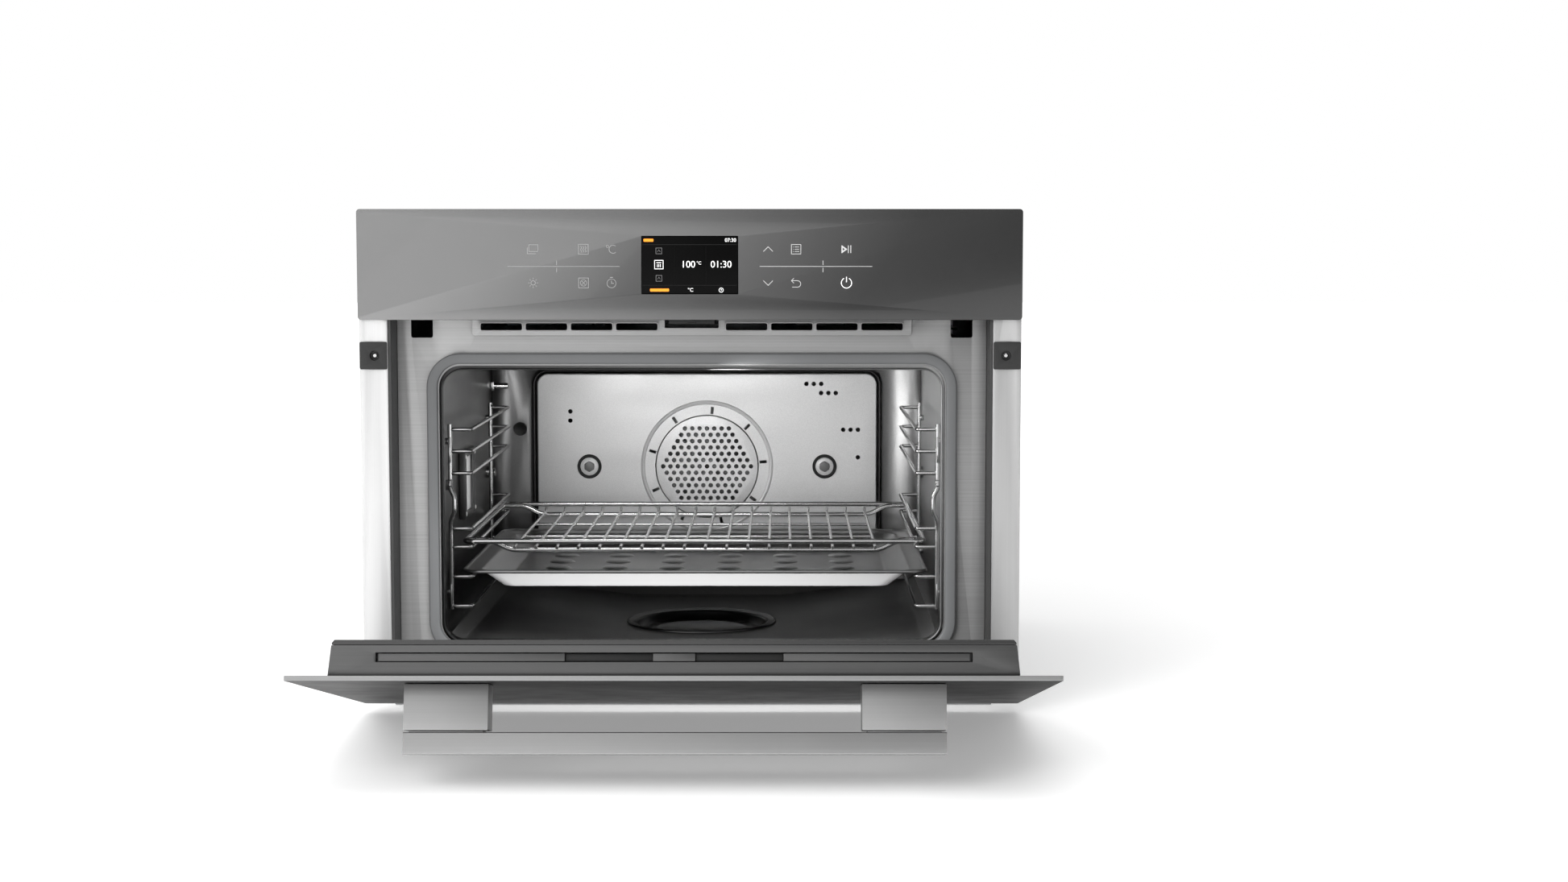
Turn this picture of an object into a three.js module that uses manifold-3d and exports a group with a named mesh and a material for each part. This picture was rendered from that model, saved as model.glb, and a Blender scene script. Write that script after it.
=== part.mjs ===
// A compact built-in steam oven with a drop-down door, as separate pieces in one scene graph.
// Millimetres, +Z up, +X to the right of someone facing the door, +Y from the door to the back.
// The origin is the centre of the base pan's underside. Inside the group called front, y is the
// depth behind the outer face of the control glass. The door stands open at its resting angle.

import * as THREE from 'three';
import { mergeVertices } from 'three/addons/utils/BufferGeometryUtils.js';
import Module from 'manifold-3d';

const wasm = await Module();
wasm.setup();

// ---------------------------------------------------------------------------------------------
// Driving dimensions
// ---------------------------------------------------------------------------------------------

const GAP = 0.4; // clearance between pieces that rest on each other
const SHEET = 1.5; // casing sheet
const MUFFLE = 1.2; // cavity sheet

const FRONT_WIDTH = 595; // the front covers the niche's edges
const FRONT_BOTTOM = 1.5; // lower edge of the closed door above the niche floor
const FRONT_HEIGHT = 455;
const GLASS = 4;
const PANEL_HEIGHT = 99;
const PANEL_GAP = 4; // between the closed door and the control glass
const FRONT_TOP = FRONT_BOTTOM + FRONT_HEIGHT;
const PANEL_BOTTOM = FRONT_TOP - PANEL_HEIGHT;
const DOOR_TOP = PANEL_BOTTOM - PANEL_GAP;

const BODY_HALF = 276; // half width of the casing behind the trims
const BODY_FRONT = 43.5;
const BODY_BACK = 546;
const BODY_TOP = 444;
const BODY_CENTRE = (BODY_FRONT + BODY_BACK) / 2;

const FRAME_FACE = 41; // depth of the steel frame round the cavity mouth
const FRAME_HALF = 269;
const TRIM_FACE = 6;
const TRIM_INSIDE = 272;
const TRIM_OUTSIDE = 297.4;
const TRIM_BOTTOM = 18;
const TRIM_TOP = 448;

const MOUTH = { half: 227.7, low: 61, high: 310.7, round: 17 };
const GASKET = { half: 242, low: 47.5, high: 325.9, round: 31, band: 9.6, front: 35 };
const CAVITY = { half: 233, high: 316.5, front: 50, back: 452, round: 22 };
const FLOOR = { side: 57, crease: 54, creaseHalf: 184, middle: 41, middleHalf: 80 };
const REAR_WALL = 445; // depth of the baffle's face
const REAR_CHAMFER = 14;

const FAN = { z: 183.5, grille: 55.4, ring: 71, wheel: 68, heater: 84 };
const DISH = { y: 266.6, radius: 76 };

const RACK = { x: 208, wallX: 227.5, frontY: 78.6, backY: 376, wire: 1.8, post: 2.2 };
const RACK_LEVELS = [253, 232.6, 212, 160, 142.6, 114.6, 86.8];
const RACK_LOW = 84;
const RACK_HIGH = 258;
const SHELF_LEVEL = RACK_LEVELS[4];
const TRAY_LEVEL = RACK_LEVELS[5];

const DOOR = { half: 265, taper: 2.2, low: 20, high: 347.5, back: 27.7, inner: 28, innerBack: 31.8 };
const PIVOT = { y: 1, z: 11 };
const DOOR_OPEN = THREE.MathUtils.degToRad(75.9);
const HANDLE = { half: 210, post: 65.5, high: 323.9, low: 296, reach: 36.2, bar: 17 };

// ---------------------------------------------------------------------------------------------
// Finishes
// ---------------------------------------------------------------------------------------------

function finish(color, roughness, metalness) {
  return new THREE.MeshStandardMaterial({ color, roughness, metalness });
}

const FINISH = {
  brushed: finish('#b4b4b4', 0.35, 0.9),
  trim: finish('#dedede', 0.4, 0.8),
  cavity: finish('#b9b9b7', 0.32, 0.9),
  chrome: finish('#c8c8c8', 0.15, 1),
  galvanised: finish('#9ea1a3', 0.5, 0.8),
  glassGrey: finish('#7d7d7d', 0.08, 0.6),
  glassDark: finish('#2b2b2b', 0.05, 0.2),
  doorGrey: finish('#6e6e6e', 0.45, 0.3),
  handle: finish('#ababab', 0.32, 0.9),
  black: finish('#161616', 0.6, 0),
  plastic: finish('#3f3f3f', 0.55, 0),
  gasket: finish('#7d8280', 0.7, 0),
  tray: finish('#8a8a8a', 0.35, 0.8),
  heater: finish('#5a5552', 0.5, 0.6),
  wool: finish('#cfc9b4', 1, 0),
  board: finish('#2f6b3c', 0.6, 0),
  clear: finish('#dfe6e8', 0.05, 0),
};

// ---------------------------------------------------------------------------------------------
// Solids
// ---------------------------------------------------------------------------------------------

// A closed three.js geometry as a solid that can be joined and cut.
function solid(geometry) {
  const bare = geometry.index ? geometry.toNonIndexed() : geometry.clone();
  bare.deleteAttribute('normal');
  bare.deleteAttribute('uv');
  const merged = mergeVertices(bare, 1e-3);
  const kept = [];
  for (let i = 0; i < merged.index.count; i += 3) {
    const [a, b, c] = [0, 1, 2].map((k) => merged.index.getX(i + k));
    if (a !== b && b !== c && c !== a) {
      kept.push(a, b, c);
    }
  }
  const vertProperties = Float32Array.from(merged.attributes.position.array);
  const triVerts = Uint32Array.from(kept);
  return new wasm.Manifold(new wasm.Mesh({ numProp: 3, vertProperties, triVerts }));
}

function joined(solids) {
  return solids.reduce((sum, next) => sum.add(next));
}

function cut(body, tools) {
  return tools.reduce((left, tool) => left.subtract(tool), body);
}

function block(x0, x1, y0, y1, z0, z1) {
  const geometry = new THREE.BoxGeometry(x1 - x0, y1 - y0, z1 - z0);
  return solid(geometry.translate((x0 + x1) / 2, (y0 + y1) / 2, (z0 + z1) / 2));
}

// A block between two distances from the middle plane, on the side given by -1 or 1.
function sideBlock(side, near, far, y0, y1, z0, z1) {
  return side < 0 ? block(-far, -near, y0, y1, z0, z1) : block(near, far, y0, y1, z0, z1);
}

// A round bar from one coordinate to another along x, y or z, through the point given.
function bar(axis, [x, y, z], radius, from, to, sides = 20) {
  const geometry = new THREE.CylinderGeometry(radius, radius, to - from, sides);
  const middle = (from + to) / 2;
  if (axis === 'x') {
    return solid(geometry.rotateZ(Math.PI / 2).translate(middle, y, z));
  }
  if (axis === 'z') {
    return solid(geometry.rotateX(Math.PI / 2).translate(x, y, middle));
  }
  return solid(geometry.translate(x, middle, z));
}

function roundedRect(x0, x1, z0, z1, r) {
  const shape = new THREE.Shape();
  if (r === 0) {
    return shape.moveTo(x0, z0).lineTo(x1, z0).lineTo(x1, z1).lineTo(x0, z1);
  }
  shape.moveTo(x0 + r, z0);
  shape.lineTo(x1 - r, z0);
  shape.absarc(x1 - r, z0 + r, r, -Math.PI / 2, 0);
  shape.lineTo(x1, z1 - r);
  shape.absarc(x1 - r, z1 - r, r, 0, Math.PI / 2);
  shape.lineTo(x0 + r, z1);
  shape.absarc(x0 + r, z1 - r, r, Math.PI / 2, Math.PI);
  shape.lineTo(x0, z0 + r);
  shape.absarc(x0 + r, z0 + r, r, Math.PI, Math.PI * 1.5);
  return shape;
}

function extruded(shape, depth, curveSegments = 6) {
  return new THREE.ExtrudeGeometry(shape, { depth, bevelEnabled: false, curveSegments });
}

// An outline of x and z values, made thick from one depth to another.
function plateXZ(shape, y0, y1, curveSegments = 6) {
  return solid(extruded(shape, y1 - y0, curveSegments).rotateX(Math.PI / 2).translate(0, y1, 0));
}

// An outline of x and y values, made thick from one height to another.
function plateXY(shape, z0, z1, curveSegments = 6) {
  return solid(extruded(shape, z1 - z0, curveSegments).translate(0, 0, z0));
}

// A rounded upright rectangle, symmetrical about the middle plane.
function panel(half, z0, z1, r, y0, y1, curveSegments = 4) {
  return plateXZ(roundedRect(-half, half, z0, z1, r), y0, y1, curveSegments);
}

// A closed frame between two such rectangles, the inner one a given distance inside.
function ring(half, z0, z1, r, width, y0, y1) {
  const outer = panel(half, z0, z1, r, y0, y1);
  const inside = Math.max(r - width, 1);
  return outer.subtract(panel(half - width, z0 + width, z1 - width, inside, y0 - 1, y1 + 1));
}

// A profile of [radius, height] pairs turned about a vertical axis.
function turned(profile, [x, y], sides = 28) {
  const points = profile.map(([r, z]) => new THREE.Vector2(r, z));
  const geometry = new THREE.LatheGeometry(points, sides);
  return solid(geometry.rotateX(Math.PI / 2).translate(x, y, 0));
}

// A path that steps from one point to the next, so that each section lies on a point.
class WirePath extends THREE.Curve {
  constructor(points) {
    super();
    this.points = points;
  }

  getPointAt(u) {
    const place = u * (this.points.length - 1);
    const index = Math.min(Math.floor(place), this.points.length - 2);
    return this.points[index].clone().lerp(this.points[index + 1], place - index);
  }

  getTangentAt(u) {
    const last = this.points.length - 1;
    const index = Math.round(u * last);
    const here = this.points[index];
    const tangent = new THREE.Vector3();
    if (index > 0) {
      tangent.add(here.clone().sub(this.points[index - 1]).normalize());
    }
    if (index < last) {
      tangent.add(this.points[index + 1].clone().sub(here).normalize());
    }
    return tangent.normalize();
  }
}

// The corners of a wire's route, each rounded by a short curve.
function rounded(corners, radius) {
  const points = [corners[0]];
  for (let i = 1; i < corners.length - 1; i += 1) {
    const into = corners[i].clone().sub(corners[i - 1]).normalize();
    const away = corners[i + 1].clone().sub(corners[i]).normalize();
    const start = corners[i].clone().addScaledVector(into, -radius);
    const end = corners[i].clone().addScaledVector(away, radius);
    points.push(...new THREE.QuadraticBezierCurve3(start, corners[i], end).getPoints(2));
  }
  points.push(corners[corners.length - 1]);
  return points;
}

// A wire of round section through a list of [x, y, z] corners.
function wire(corners, radius, bend = 0, sides = 6) {
  const route = corners.map(([x, y, z]) => new THREE.Vector3(x, y, z));
  const points = bend > 0 ? rounded(route, bend) : route;
  const section = new THREE.Shape();
  for (let i = 0; i < sides; i += 1) {
    const angle = (i / sides) * 2 * Math.PI;
    const corner = [radius * Math.cos(angle), radius * Math.sin(angle)];
    if (i === 0) {
      section.moveTo(...corner);
    } else {
      section.lineTo(...corner);
    }
  }
  const extrudePath = new WirePath(points);
  const steps = points.length - 1;
  return solid(new THREE.ExtrudeGeometry(section, { steps, extrudePath, bevelEnabled: false }));
}

// Moves the sides of a block outwards as they rise from z0 to z1, about the point given.
function flared(geometry, z0, z1, spread, [cx, cy]) {
  const position = geometry.attributes.position;
  for (let i = 0; i < position.count; i += 1) {
    const rise = (position.getZ(i) - z0) / (z1 - z0);
    const x = position.getX(i);
    const y = position.getY(i);
    position.setXY(i, x + Math.sign(x - cx) * spread * rise, y + Math.sign(y - cy) * spread * rise);
  }
  return geometry;
}

// ---------------------------------------------------------------------------------------------
// Scene graph
// ---------------------------------------------------------------------------------------------

const oven = new THREE.Group();
const front = new THREE.Group();
front.position.y = -BODY_CENTRE;
oven.add(front);

const doorTurn = new THREE.Group();
doorTurn.position.set(0, PIVOT.y, PIVOT.z);
doorTurn.rotation.x = DOOR_OPEN;
front.add(doorTurn);

// Door pieces are drawn as they stand when the door is closed.
const door = new THREE.Group();
door.position.set(0, -PIVOT.y, -PIVOT.z);
doorTurn.add(door);

function add(group, name, shape, material) {
  const { vertProperties, triVerts } = shape.getMesh();
  const geometry = new THREE.BufferGeometry();
  geometry.setAttribute('position', new THREE.BufferAttribute(vertProperties, 3));
  geometry.setIndex(new THREE.BufferAttribute(triVerts, 1));
  geometry.computeVertexNormals();
  geometry.computeBoundingBox();
  const centre = geometry.boundingBox.getCenter(new THREE.Vector3()).round();
  geometry.translate(-centre.x, -centre.y, -centre.z);
  const mesh = new THREE.Mesh(geometry, material);
  mesh.name = name;
  mesh.position.copy(centre);
  group.add(mesh);
}

const SIDES = [
  ['left', -1],
  ['right', 1],
];

// ---------------------------------------------------------------------------------------------
// Casing
// ---------------------------------------------------------------------------------------------

function basePan() {
  const floor = block(-BODY_HALF, BODY_HALF, BODY_FRONT, BODY_BACK, 0, 2);
  const lip = block(-BODY_HALF, BODY_HALF, BODY_FRONT, BODY_FRONT + SHEET, 0, 13);
  const back = block(-BODY_HALF, BODY_HALF, BODY_BACK - SHEET, BODY_BACK, 0, 14);
  return joined([floor, lip, back]);
}

// Cooling slots in a row along y, in a casing sheet on one side.
function sidePanel(side) {
  const sheet = sideBlock(side, BODY_HALF - SHEET, BODY_HALF, BODY_FRONT + 2, BODY_BACK - 2, 2.5, 442);
  const slots = [];
  for (let i = 0; i < 7; i += 1) {
    const y = 420 + i * 14;
    slots.push(sideBlock(side, BODY_HALF - 5, BODY_HALF + 5, y, y + 5, 360, 415));
  }
  return cut(sheet, slots);
}

function topCover() {
  const sheet = block(-BODY_HALF, BODY_HALF, BODY_FRONT, BODY_BACK, BODY_TOP - SHEET, BODY_TOP);
  const slots = [];
  for (let i = 0; i < 9; i += 1) {
    const x = -80 + i * 20;
    slots.push(block(x - 3, x + 3, 440, 500, BODY_TOP - 5, BODY_TOP + 5));
  }
  return cut(sheet, slots);
}

const INLET = { x: 205, z: 372, radius: 11 };

function rearCover() {
  const y0 = BODY_BACK + GAP;
  const sheet = block(-BODY_HALF, BODY_HALF, y0, y0 + SHEET, 0.5, BODY_TOP);
  const slots = [];
  for (let i = 0; i < 10; i += 1) {
    const z = 130 + i * 12;
    slots.push(block(-60, 60, y0 - 5, y0 + 5, z, z + 4));
  }
  const inlet = bar('y', [INLET.x, 0, INLET.z], INLET.radius, y0 - 5, y0 + 5);
  return cut(sheet, [...slots, inlet]);
}

function cableGland() {
  const through = bar('y', [INLET.x, 0, INLET.z], INLET.radius - GAP, BODY_BACK - 12, BODY_BACK + 6);
  const collar = bar('y', [INLET.x, 0, INLET.z], INLET.radius + 4, BODY_BACK - 12, BODY_BACK - 3, 6);
  const hole = bar('y', [INLET.x, 0, INLET.z], 4.5, BODY_BACK - 20, BODY_BACK + 20, 12);
  return through.add(collar).subtract(hole);
}

add(front, 'base_pan', basePan(), FINISH.galvanised);
for (const [name, side] of SIDES) {
  add(front, `side_panel_${name}`, sidePanel(side), FINISH.galvanised);
}
add(front, 'top_cover', topCover(), FINISH.galvanised);
add(front, 'rear_cover', rearCover(), FINISH.galvanised);
add(front, 'cable_gland', cableGland(), FINISH.black);

// ---------------------------------------------------------------------------------------------
// Front: frame, vent plate, trims, fixing blocks and door gasket
// ---------------------------------------------------------------------------------------------

const VENT = { half: 200.6, low: 342.2, high: 374, slotLow: 347.1, slotHigh: 353.4 };
const SLOT = { first: 31.2, width: 37.7, pitch: 41.2 };
const HINGE = { near: 252, far: 256, arcIn: 34, arcOut: 52, low: 18, high: 47 };

function frontFrame() {
  const frame = panel(FRAME_HALF, 15, 441, 2, FRAME_FACE, FRAME_FACE + SHEET);
  const mouth = panel(MOUTH.half + 3.8, MOUTH.low - 3.8, MOUTH.high + 3.8, 20, 30, 50);
  const vent = block(-196, 196, 30, 50, 344.5, 371);
  const cuts = [mouth, vent];
  for (const [, side] of SIDES) {
    const [near, far] = [236.4, 256.3];
    const [x0, x1] = side < 0 ? [-far, -near] : [near, far];
    cuts.push(plateXZ(roundedRect(x0, x1, 340.1, 366, 2), 30, 50, 3));
    cuts.push(sideBlock(side, HINGE.near - 2, HINGE.far + 2, 30, 50, HINGE.low, HINGE.high));
  }
  return cut(frame, cuts);
}

function ventPlate() {
  const plate = panel(VENT.half, VENT.low, VENT.high, 2, FRAME_FACE - 0.4 - SHEET, FRAME_FACE - 0.4, 3);
  const cuts = [panel(24.6, 349.1, 360, 1, 30, 50, 2)];
  for (let i = 0; i < 4; i += 1) {
    for (const [, side] of SIDES) {
      const near = SLOT.first + i * SLOT.pitch;
      const far = near + SLOT.width;
      const [x0, x1] = side < 0 ? [-far, -near] : [near, far];
      cuts.push(plateXZ(roundedRect(x0, x1, VENT.slotLow, VENT.slotHigh, 1.2), 30, 50, 1));
    }
  }
  return cut(plate, cuts);
}

function doorSwitch() {
  const body = block(-21, 21, FRAME_FACE - 1.5, FRAME_FACE + 22, 352.5, 358.5);
  return body.add(block(-4, 4, FRAME_FACE - 4, FRAME_FACE, 354, 357));
}

const FIX = { x: 283.6, z: 325.4, half: 12.4, bore: 2.1, sink: 4.4 };

function sideTrim(side) {
  const strip = (near, far, back) => {
    return sideBlock(side, near, far, TRIM_FACE, back, TRIM_BOTTOM, TRIM_TOP);
  };
  const face = strip(TRIM_INSIDE, TRIM_OUTSIDE, TRIM_FACE + SHEET);
  const inner = strip(TRIM_INSIDE, TRIM_INSIDE + SHEET, FRAME_FACE + 1);
  const outer = strip(TRIM_OUTSIDE - SHEET, TRIM_OUTSIDE, TRIM_FACE + 14);
  const hole = bar('y', [side * FIX.x, 0, FIX.z], 8, 0, 20, 16);
  return joined([face, inner, outer]).subtract(hole);
}

function recessLiner(side) {
  return sideBlock(side, FRAME_HALF + GAP, TRIM_INSIDE - GAP, TRIM_FACE + 1, FRAME_FACE + 1, 15, 441);
}

function fixingBlock(side) {
  const x = side * FIX.x;
  const centre = side * (TRIM_INSIDE + TRIM_OUTSIDE) / 2;
  const shape = roundedRect(centre - FIX.half, centre + FIX.half, FIX.z - FIX.half, FIX.z + FIX.half, 1.5);
  const plate = plateXZ(shape, TRIM_FACE - 1.5, TRIM_FACE - 0.3, 2);
  const boss = bar('y', [x, 0, FIX.z], 7.6, TRIM_FACE - 1.5, TRIM_FACE + 9, 16);
  const bore = bar('y', [x, 0, FIX.z], FIX.bore, 0, 30, 16);
  const sink = bar('y', [x, 0, FIX.z], FIX.sink, 0, TRIM_FACE + 3, 16);
  return cut(plate.add(boss), [bore, sink]);
}

function doorGasket() {
  const { half, low, high, round, band, front: face } = GASKET;
  const base = ring(half, low, high, round, band, face, FRAME_FACE - 0.3);
  const bead = ring(half - 4.5, low + 4.5, high - 4.5, round - 4.5, 3.5, face - 1.6, face + 1);
  return base.add(bead);
}

add(front, 'front_frame', frontFrame(), FINISH.brushed);
add(front, 'vent_plate', ventPlate(), FINISH.brushed);
add(front, 'door_switch', doorSwitch(), FINISH.black);
for (const [name, side] of SIDES) {
  add(front, `side_trim_${name}`, sideTrim(side), FINISH.trim);
  add(front, `recess_liner_${name}`, recessLiner(side), FINISH.black);
  add(front, `fixing_block_${name}`, fixingBlock(side), FINISH.plastic);
}
add(front, 'door_gasket', doorGasket(), FINISH.gasket);

// ---------------------------------------------------------------------------------------------
// Cavity: shell, rear wall, baffle and dish
// ---------------------------------------------------------------------------------------------

// The cavity's section, grown outwards by the distance given. The floor falls to the middle.
function cavityOutline(grow) {
  const half = CAVITY.half + grow;
  const r = CAVITY.round;
  const side = FLOOR.side - grow;
  const shape = new THREE.Shape();
  shape.moveTo(-FLOOR.middleHalf, FLOOR.middle - grow);
  shape.lineTo(FLOOR.middleHalf, FLOOR.middle - grow);
  shape.lineTo(FLOOR.creaseHalf, FLOOR.crease - grow);
  shape.lineTo(half - r, side);
  shape.absarc(half - r, side + r, r, -Math.PI / 2, 0);
  shape.lineTo(half, CAVITY.high + grow - 10);
  shape.absarc(half - 10, CAVITY.high + grow - 10, 10, 0, Math.PI / 2);
  shape.lineTo(-half + 10, CAVITY.high + grow);
  shape.absarc(-half + 10, CAVITY.high + grow - 10, 10, Math.PI / 2, Math.PI);
  shape.lineTo(-half, side + r);
  shape.absarc(-half + r, side + r, r, Math.PI, Math.PI * 1.5);
  shape.lineTo(-FLOOR.creaseHalf, FLOOR.crease - grow);
  return shape;
}

const LAMP = { front: 174, back: 250, low: 157, high: 223 };

function cavityShell() {
  const { half, low, high, round } = MOUTH;
  const walls = plateXZ(cavityOutline(MUFFLE), CAVITY.front, CAVITY.back, 4)
    .subtract(plateXZ(cavityOutline(0), CAVITY.front - 5, CAVITY.back + 5, 4));
  const step = plateXZ(cavityOutline(MUFFLE), CAVITY.front - MUFFLE, CAVITY.front + 0.1, 4)
    .subtract(panel(half, low, high, round, 30, 70, 4));
  const lip = ring(half + SHEET, low - SHEET, high + SHEET, round + SHEET, SHEET, 37.5, CAVITY.front);
  const dishHole = bar('z', [0, DISH.y, 0], 69, 20, 60, 24);
  const lampHole = block(-CAVITY.half - 10, -CAVITY.half + 10, 186, 220, LAMP.low + 8, LAMP.high - 8);
  return cut(joined([walls, step, lip]), [dishHole, lampHole]);
}

const BAFFLE = { half: 185, low: 74, high: 284.8, round: 12, groove: 6.6 };
const NUT = { x: 128.4, z: 183.5 };

// The pressed back of the muffle: a flat wall, slanted corners and a pan behind the baffle.
function cavityRearWall() {
  const face = REAR_WALL + 0.9;
  const { half, low, high, round, groove } = BAFFLE;
  const wall = plateXZ(cavityOutline(-GAP), face, face + MUFFLE, 4);
  const corners = SIDES.map(([, side]) => {
    const [x0, x1] = [218.6 * side, (CAVITY.half - 0.6) * side];
    const outline = new THREE.Shape();
    outline.moveTo(x0, face + MUFFLE);
    outline.lineTo(x1, face + MUFFLE);
    outline.lineTo(x1, face - REAR_CHAMFER);
    outline.lineTo(x0, face);
    return plateXY(outline, 82, CAVITY.high - 10.5);
  });
  const pan = panel(half + groove + 1.2, low - 8, high + groove + 1.2, round + 6, face, face + 46);
  const hollow = panel(half + groove, low - 6.8, high + groove, round + 5, 400, face + 46 - MUFFLE);
  const shaft = bar('y', [0, 0, FAN.z], 9, 400, 520);
  const steamInlet = bar('y', [-204.1, 0, 224.4], 7.6, 400, 460, 16);
  const bolts = SIDES.map(([, side]) => bar('y', [side * NUT.x, 0, NUT.z], 3, 460, 520, 8));
  const body = joined([wall, ...corners, pan]);
  return cut(body, [hollow, shaft, steamInlet, ...bolts]);
}

const SENSOR_HOLES = [
  [-149, 243.7], [-149, 233.6],
  [108.6, 273.8], [116.6, 273.8], [124.6, 273.8],
  [124.6, 263.8], [132.6, 263.8], [140.6, 263.8],
  [148.8, 223.6], [156.8, 223.6], [164.8, 223.6],
  [164.9, 193.3],
];

function airBaffle() {
  const { half, low, high, round } = BAFFLE;
  const sheet = panel(half, low, high, round, REAR_WALL, REAR_WALL + MUFFLE);
  const rim = ring(half, low, high, round, MUFFLE, REAR_WALL, REAR_WALL + 9);
  const emboss = bar('y', [0, 0, FAN.z], FAN.ring, REAR_WALL - 0.9, REAR_WALL + 0.2, 28)
    .subtract(bar('y', [0, 0, FAN.z], FAN.ring - 2.4, REAR_WALL - 5, REAR_WALL + 5, 28));
  const opening = bar('y', [0, 0, FAN.z], FAN.grille + 0.7, 430, 460, 32);
  const holes = SENSOR_HOLES.map(([x, z]) => bar('y', [x, 0, z], 2.5, 430, 460, 6));
  const bolts = SIDES.map(([, side]) => bar('y', [side * NUT.x, 0, NUT.z], 6, 430, 470, 10));
  const slots = [];
  for (let i = 0; i < 9; i += 1) {
    const angle = THREE.MathUtils.degToRad(5.4 + i * 40);
    const slot = new THREE.BoxGeometry(3.3, 30, 7.8).translate(0, REAR_WALL, 61.5);
    slots.push(solid(slot.rotateY(angle).translate(0, 0, FAN.z)));
  }
  return cut(joined([sheet, rim, emboss]), [opening, ...holes, ...bolts, ...slots]);
}

// The perforated disc: rows of holes on a triangular grid, 13 in the middle row.
function fanGrille() {
  const disc = bar('y', [0, 0, FAN.z], FAN.grille, REAR_WALL - 0.3, REAR_WALL + 0.9, 32);
  const pitch = 8;
  const holes = [];
  for (let row = -6; row <= 6; row += 1) {
    const count = 13 - Math.abs(row);
    for (let i = 0; i < count; i += 1) {
      const x = (i - (count - 1) / 2) * pitch;
      const z = FAN.z + row * pitch * Math.sin(Math.PI / 3);
      holes.push(bar('y', [x, 0, z], 2.5, REAR_WALL - 3, REAR_WALL + 3, 4));
    }
  }
  return cut(disc, holes);
}

function baffleNut(side) {
  const centre = [side * NUT.x, 0, NUT.z];
  const washer = bar('y', centre, 13.2, REAR_WALL - 2.2, REAR_WALL - 0.4, 24);
  const hexagon = bar('y', centre, 6.2, REAR_WALL - 5, REAR_WALL - 1, 6);
  const stud = bar('y', centre, 2.4, REAR_WALL - 3, REAR_WALL + 60, 8);
  return joined([washer, hexagon, stud]);
}

function evaporatorDish() {
  const top = FLOOR.middle + GAP;
  const { radius } = DISH;
  const profile = [
    [0, 32], [62, 32], [66.5, top], [radius, top], [radius, top + 1.6], [radius - 2, top + 2.6],
    [radius - 5, top + 1.4], [66, top + 1.4], [61, 33.4], [30, 34.2], [0, 33.4],
  ];
  return turned(profile, [0, DISH.y]);
}

function temperatureSensor() {
  const rod = bar('x', [0, 426, 272.7], 3.2, -231.5, -214.5, 12);
  return rod.add(block(-232.4, -229, 421, 431, 268, 277.4));
}

add(front, 'cavity_shell', cavityShell(), FINISH.cavity);
add(front, 'cavity_rear_wall', cavityRearWall(), FINISH.cavity);
add(front, 'air_baffle', airBaffle(), FINISH.cavity);
add(front, 'fan_grille', fanGrille(), FINISH.cavity);
for (const [name, side] of SIDES) {
  add(front, `baffle_nut_${name}`, baffleNut(side), FINISH.chrome);
}
add(front, 'evaporator_dish', evaporatorDish(), FINISH.cavity);
add(front, 'temperature_sensor', temperatureSensor(), FINISH.chrome);

// ---------------------------------------------------------------------------------------------
// Side lamp, in the left wall
// ---------------------------------------------------------------------------------------------

function lampFrame() {
  const wall = -CAVITY.half + 0.3;
  const plate = block(wall, wall + 6, LAMP.front, LAMP.back, LAMP.low, LAMP.high);
  const window = block(wall - 5, wall + 10, 184, 222, LAMP.low + 6, LAMP.high - 6);
  const groove = block(wall + 5, wall + 10, 233.4, 235, LAMP.low - 5, LAMP.high + 5);
  return cut(plate, [window, groove]);
}

function lampGlass() {
  const wall = -CAVITY.half + 0.6;
  return block(wall, wall + 4, 184.4, 221.6, LAMP.low + 6.4, LAMP.high - 6.4);
}

function lampBulb() {
  const z = (LAMP.low + LAMP.high) / 2;
  const capsule = new THREE.CapsuleGeometry(6, 18, 4, 12).rotateX(Math.PI / 2);
  const bulb = solid(capsule.translate(-247, 203, z));
  return bulb.add(bar('z', [-247, 203, 0], 7.5, z - 30, z - 12, 12));
}

add(front, 'lamp_frame', lampFrame(), FINISH.cavity);
add(front, 'lamp_glass', lampGlass(), FINISH.clear);
add(front, 'lamp_bulb', lampBulb(), FINISH.clear);

// ---------------------------------------------------------------------------------------------
// Side racks
// ---------------------------------------------------------------------------------------------

function rack(side) {
  const { x, wallX, frontY, backY, wire: thin, post } = RACK;
  const pieces = [];
  for (const y of [frontY, backY]) {
    pieces.push(wire([[side * wallX, y, RACK_LOW], [side * wallX, y, RACK_HIGH]], post));
    for (const z of [RACK_LOW + 16, RACK_HIGH - 16]) {
      pieces.push(sideBlock(side, wallX, CAVITY.half - 0.5, y - 1.5, y + 1.5, z - 6, z + 6));
    }
  }
  for (const z of RACK_LEVELS) {
    const route = [[wallX, frontY, z], [x, frontY, z], [x, backY, z], [wallX, backY, z]];
    pieces.push(wire(route.map(([a, b, c]) => [side * a, b, c]), thin, 4));
  }
  pieces.push(bar('x', [0, frontY, 200], 5, ...nutSpan(side), 10));
  return joined(pieces);
}

// The clamp nut's two ends along x, lowest first.
function nutSpan(side) {
  const near = RACK.wallX - 3.5;
  const far = CAVITY.half - 0.5;
  return side < 0 ? [-far, -near] : [near, far];
}

function rackBolt(side) {
  const y = RACK.backY + RACK.post + 7;
  const span = side < 0 ? [-232.5, -226.5] : [226.5, 232.5];
  const head = bar('x', [0, y, 183], 6.2, ...span, 16);
  const tip = side < 0 ? [-226.6, -223.5] : [223.5, 226.6];
  return head.add(bar('x', [0, y, 183], 3.6, ...tip, 6));
}

for (const [name, side] of SIDES) {
  add(front, `rack_${name}`, rack(side), FINISH.chrome);
  add(front, `rack_bolt_${name}`, rackBolt(side), FINISH.chrome);
}

// ---------------------------------------------------------------------------------------------
// Wire shelf and baking tray
// ---------------------------------------------------------------------------------------------

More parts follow.
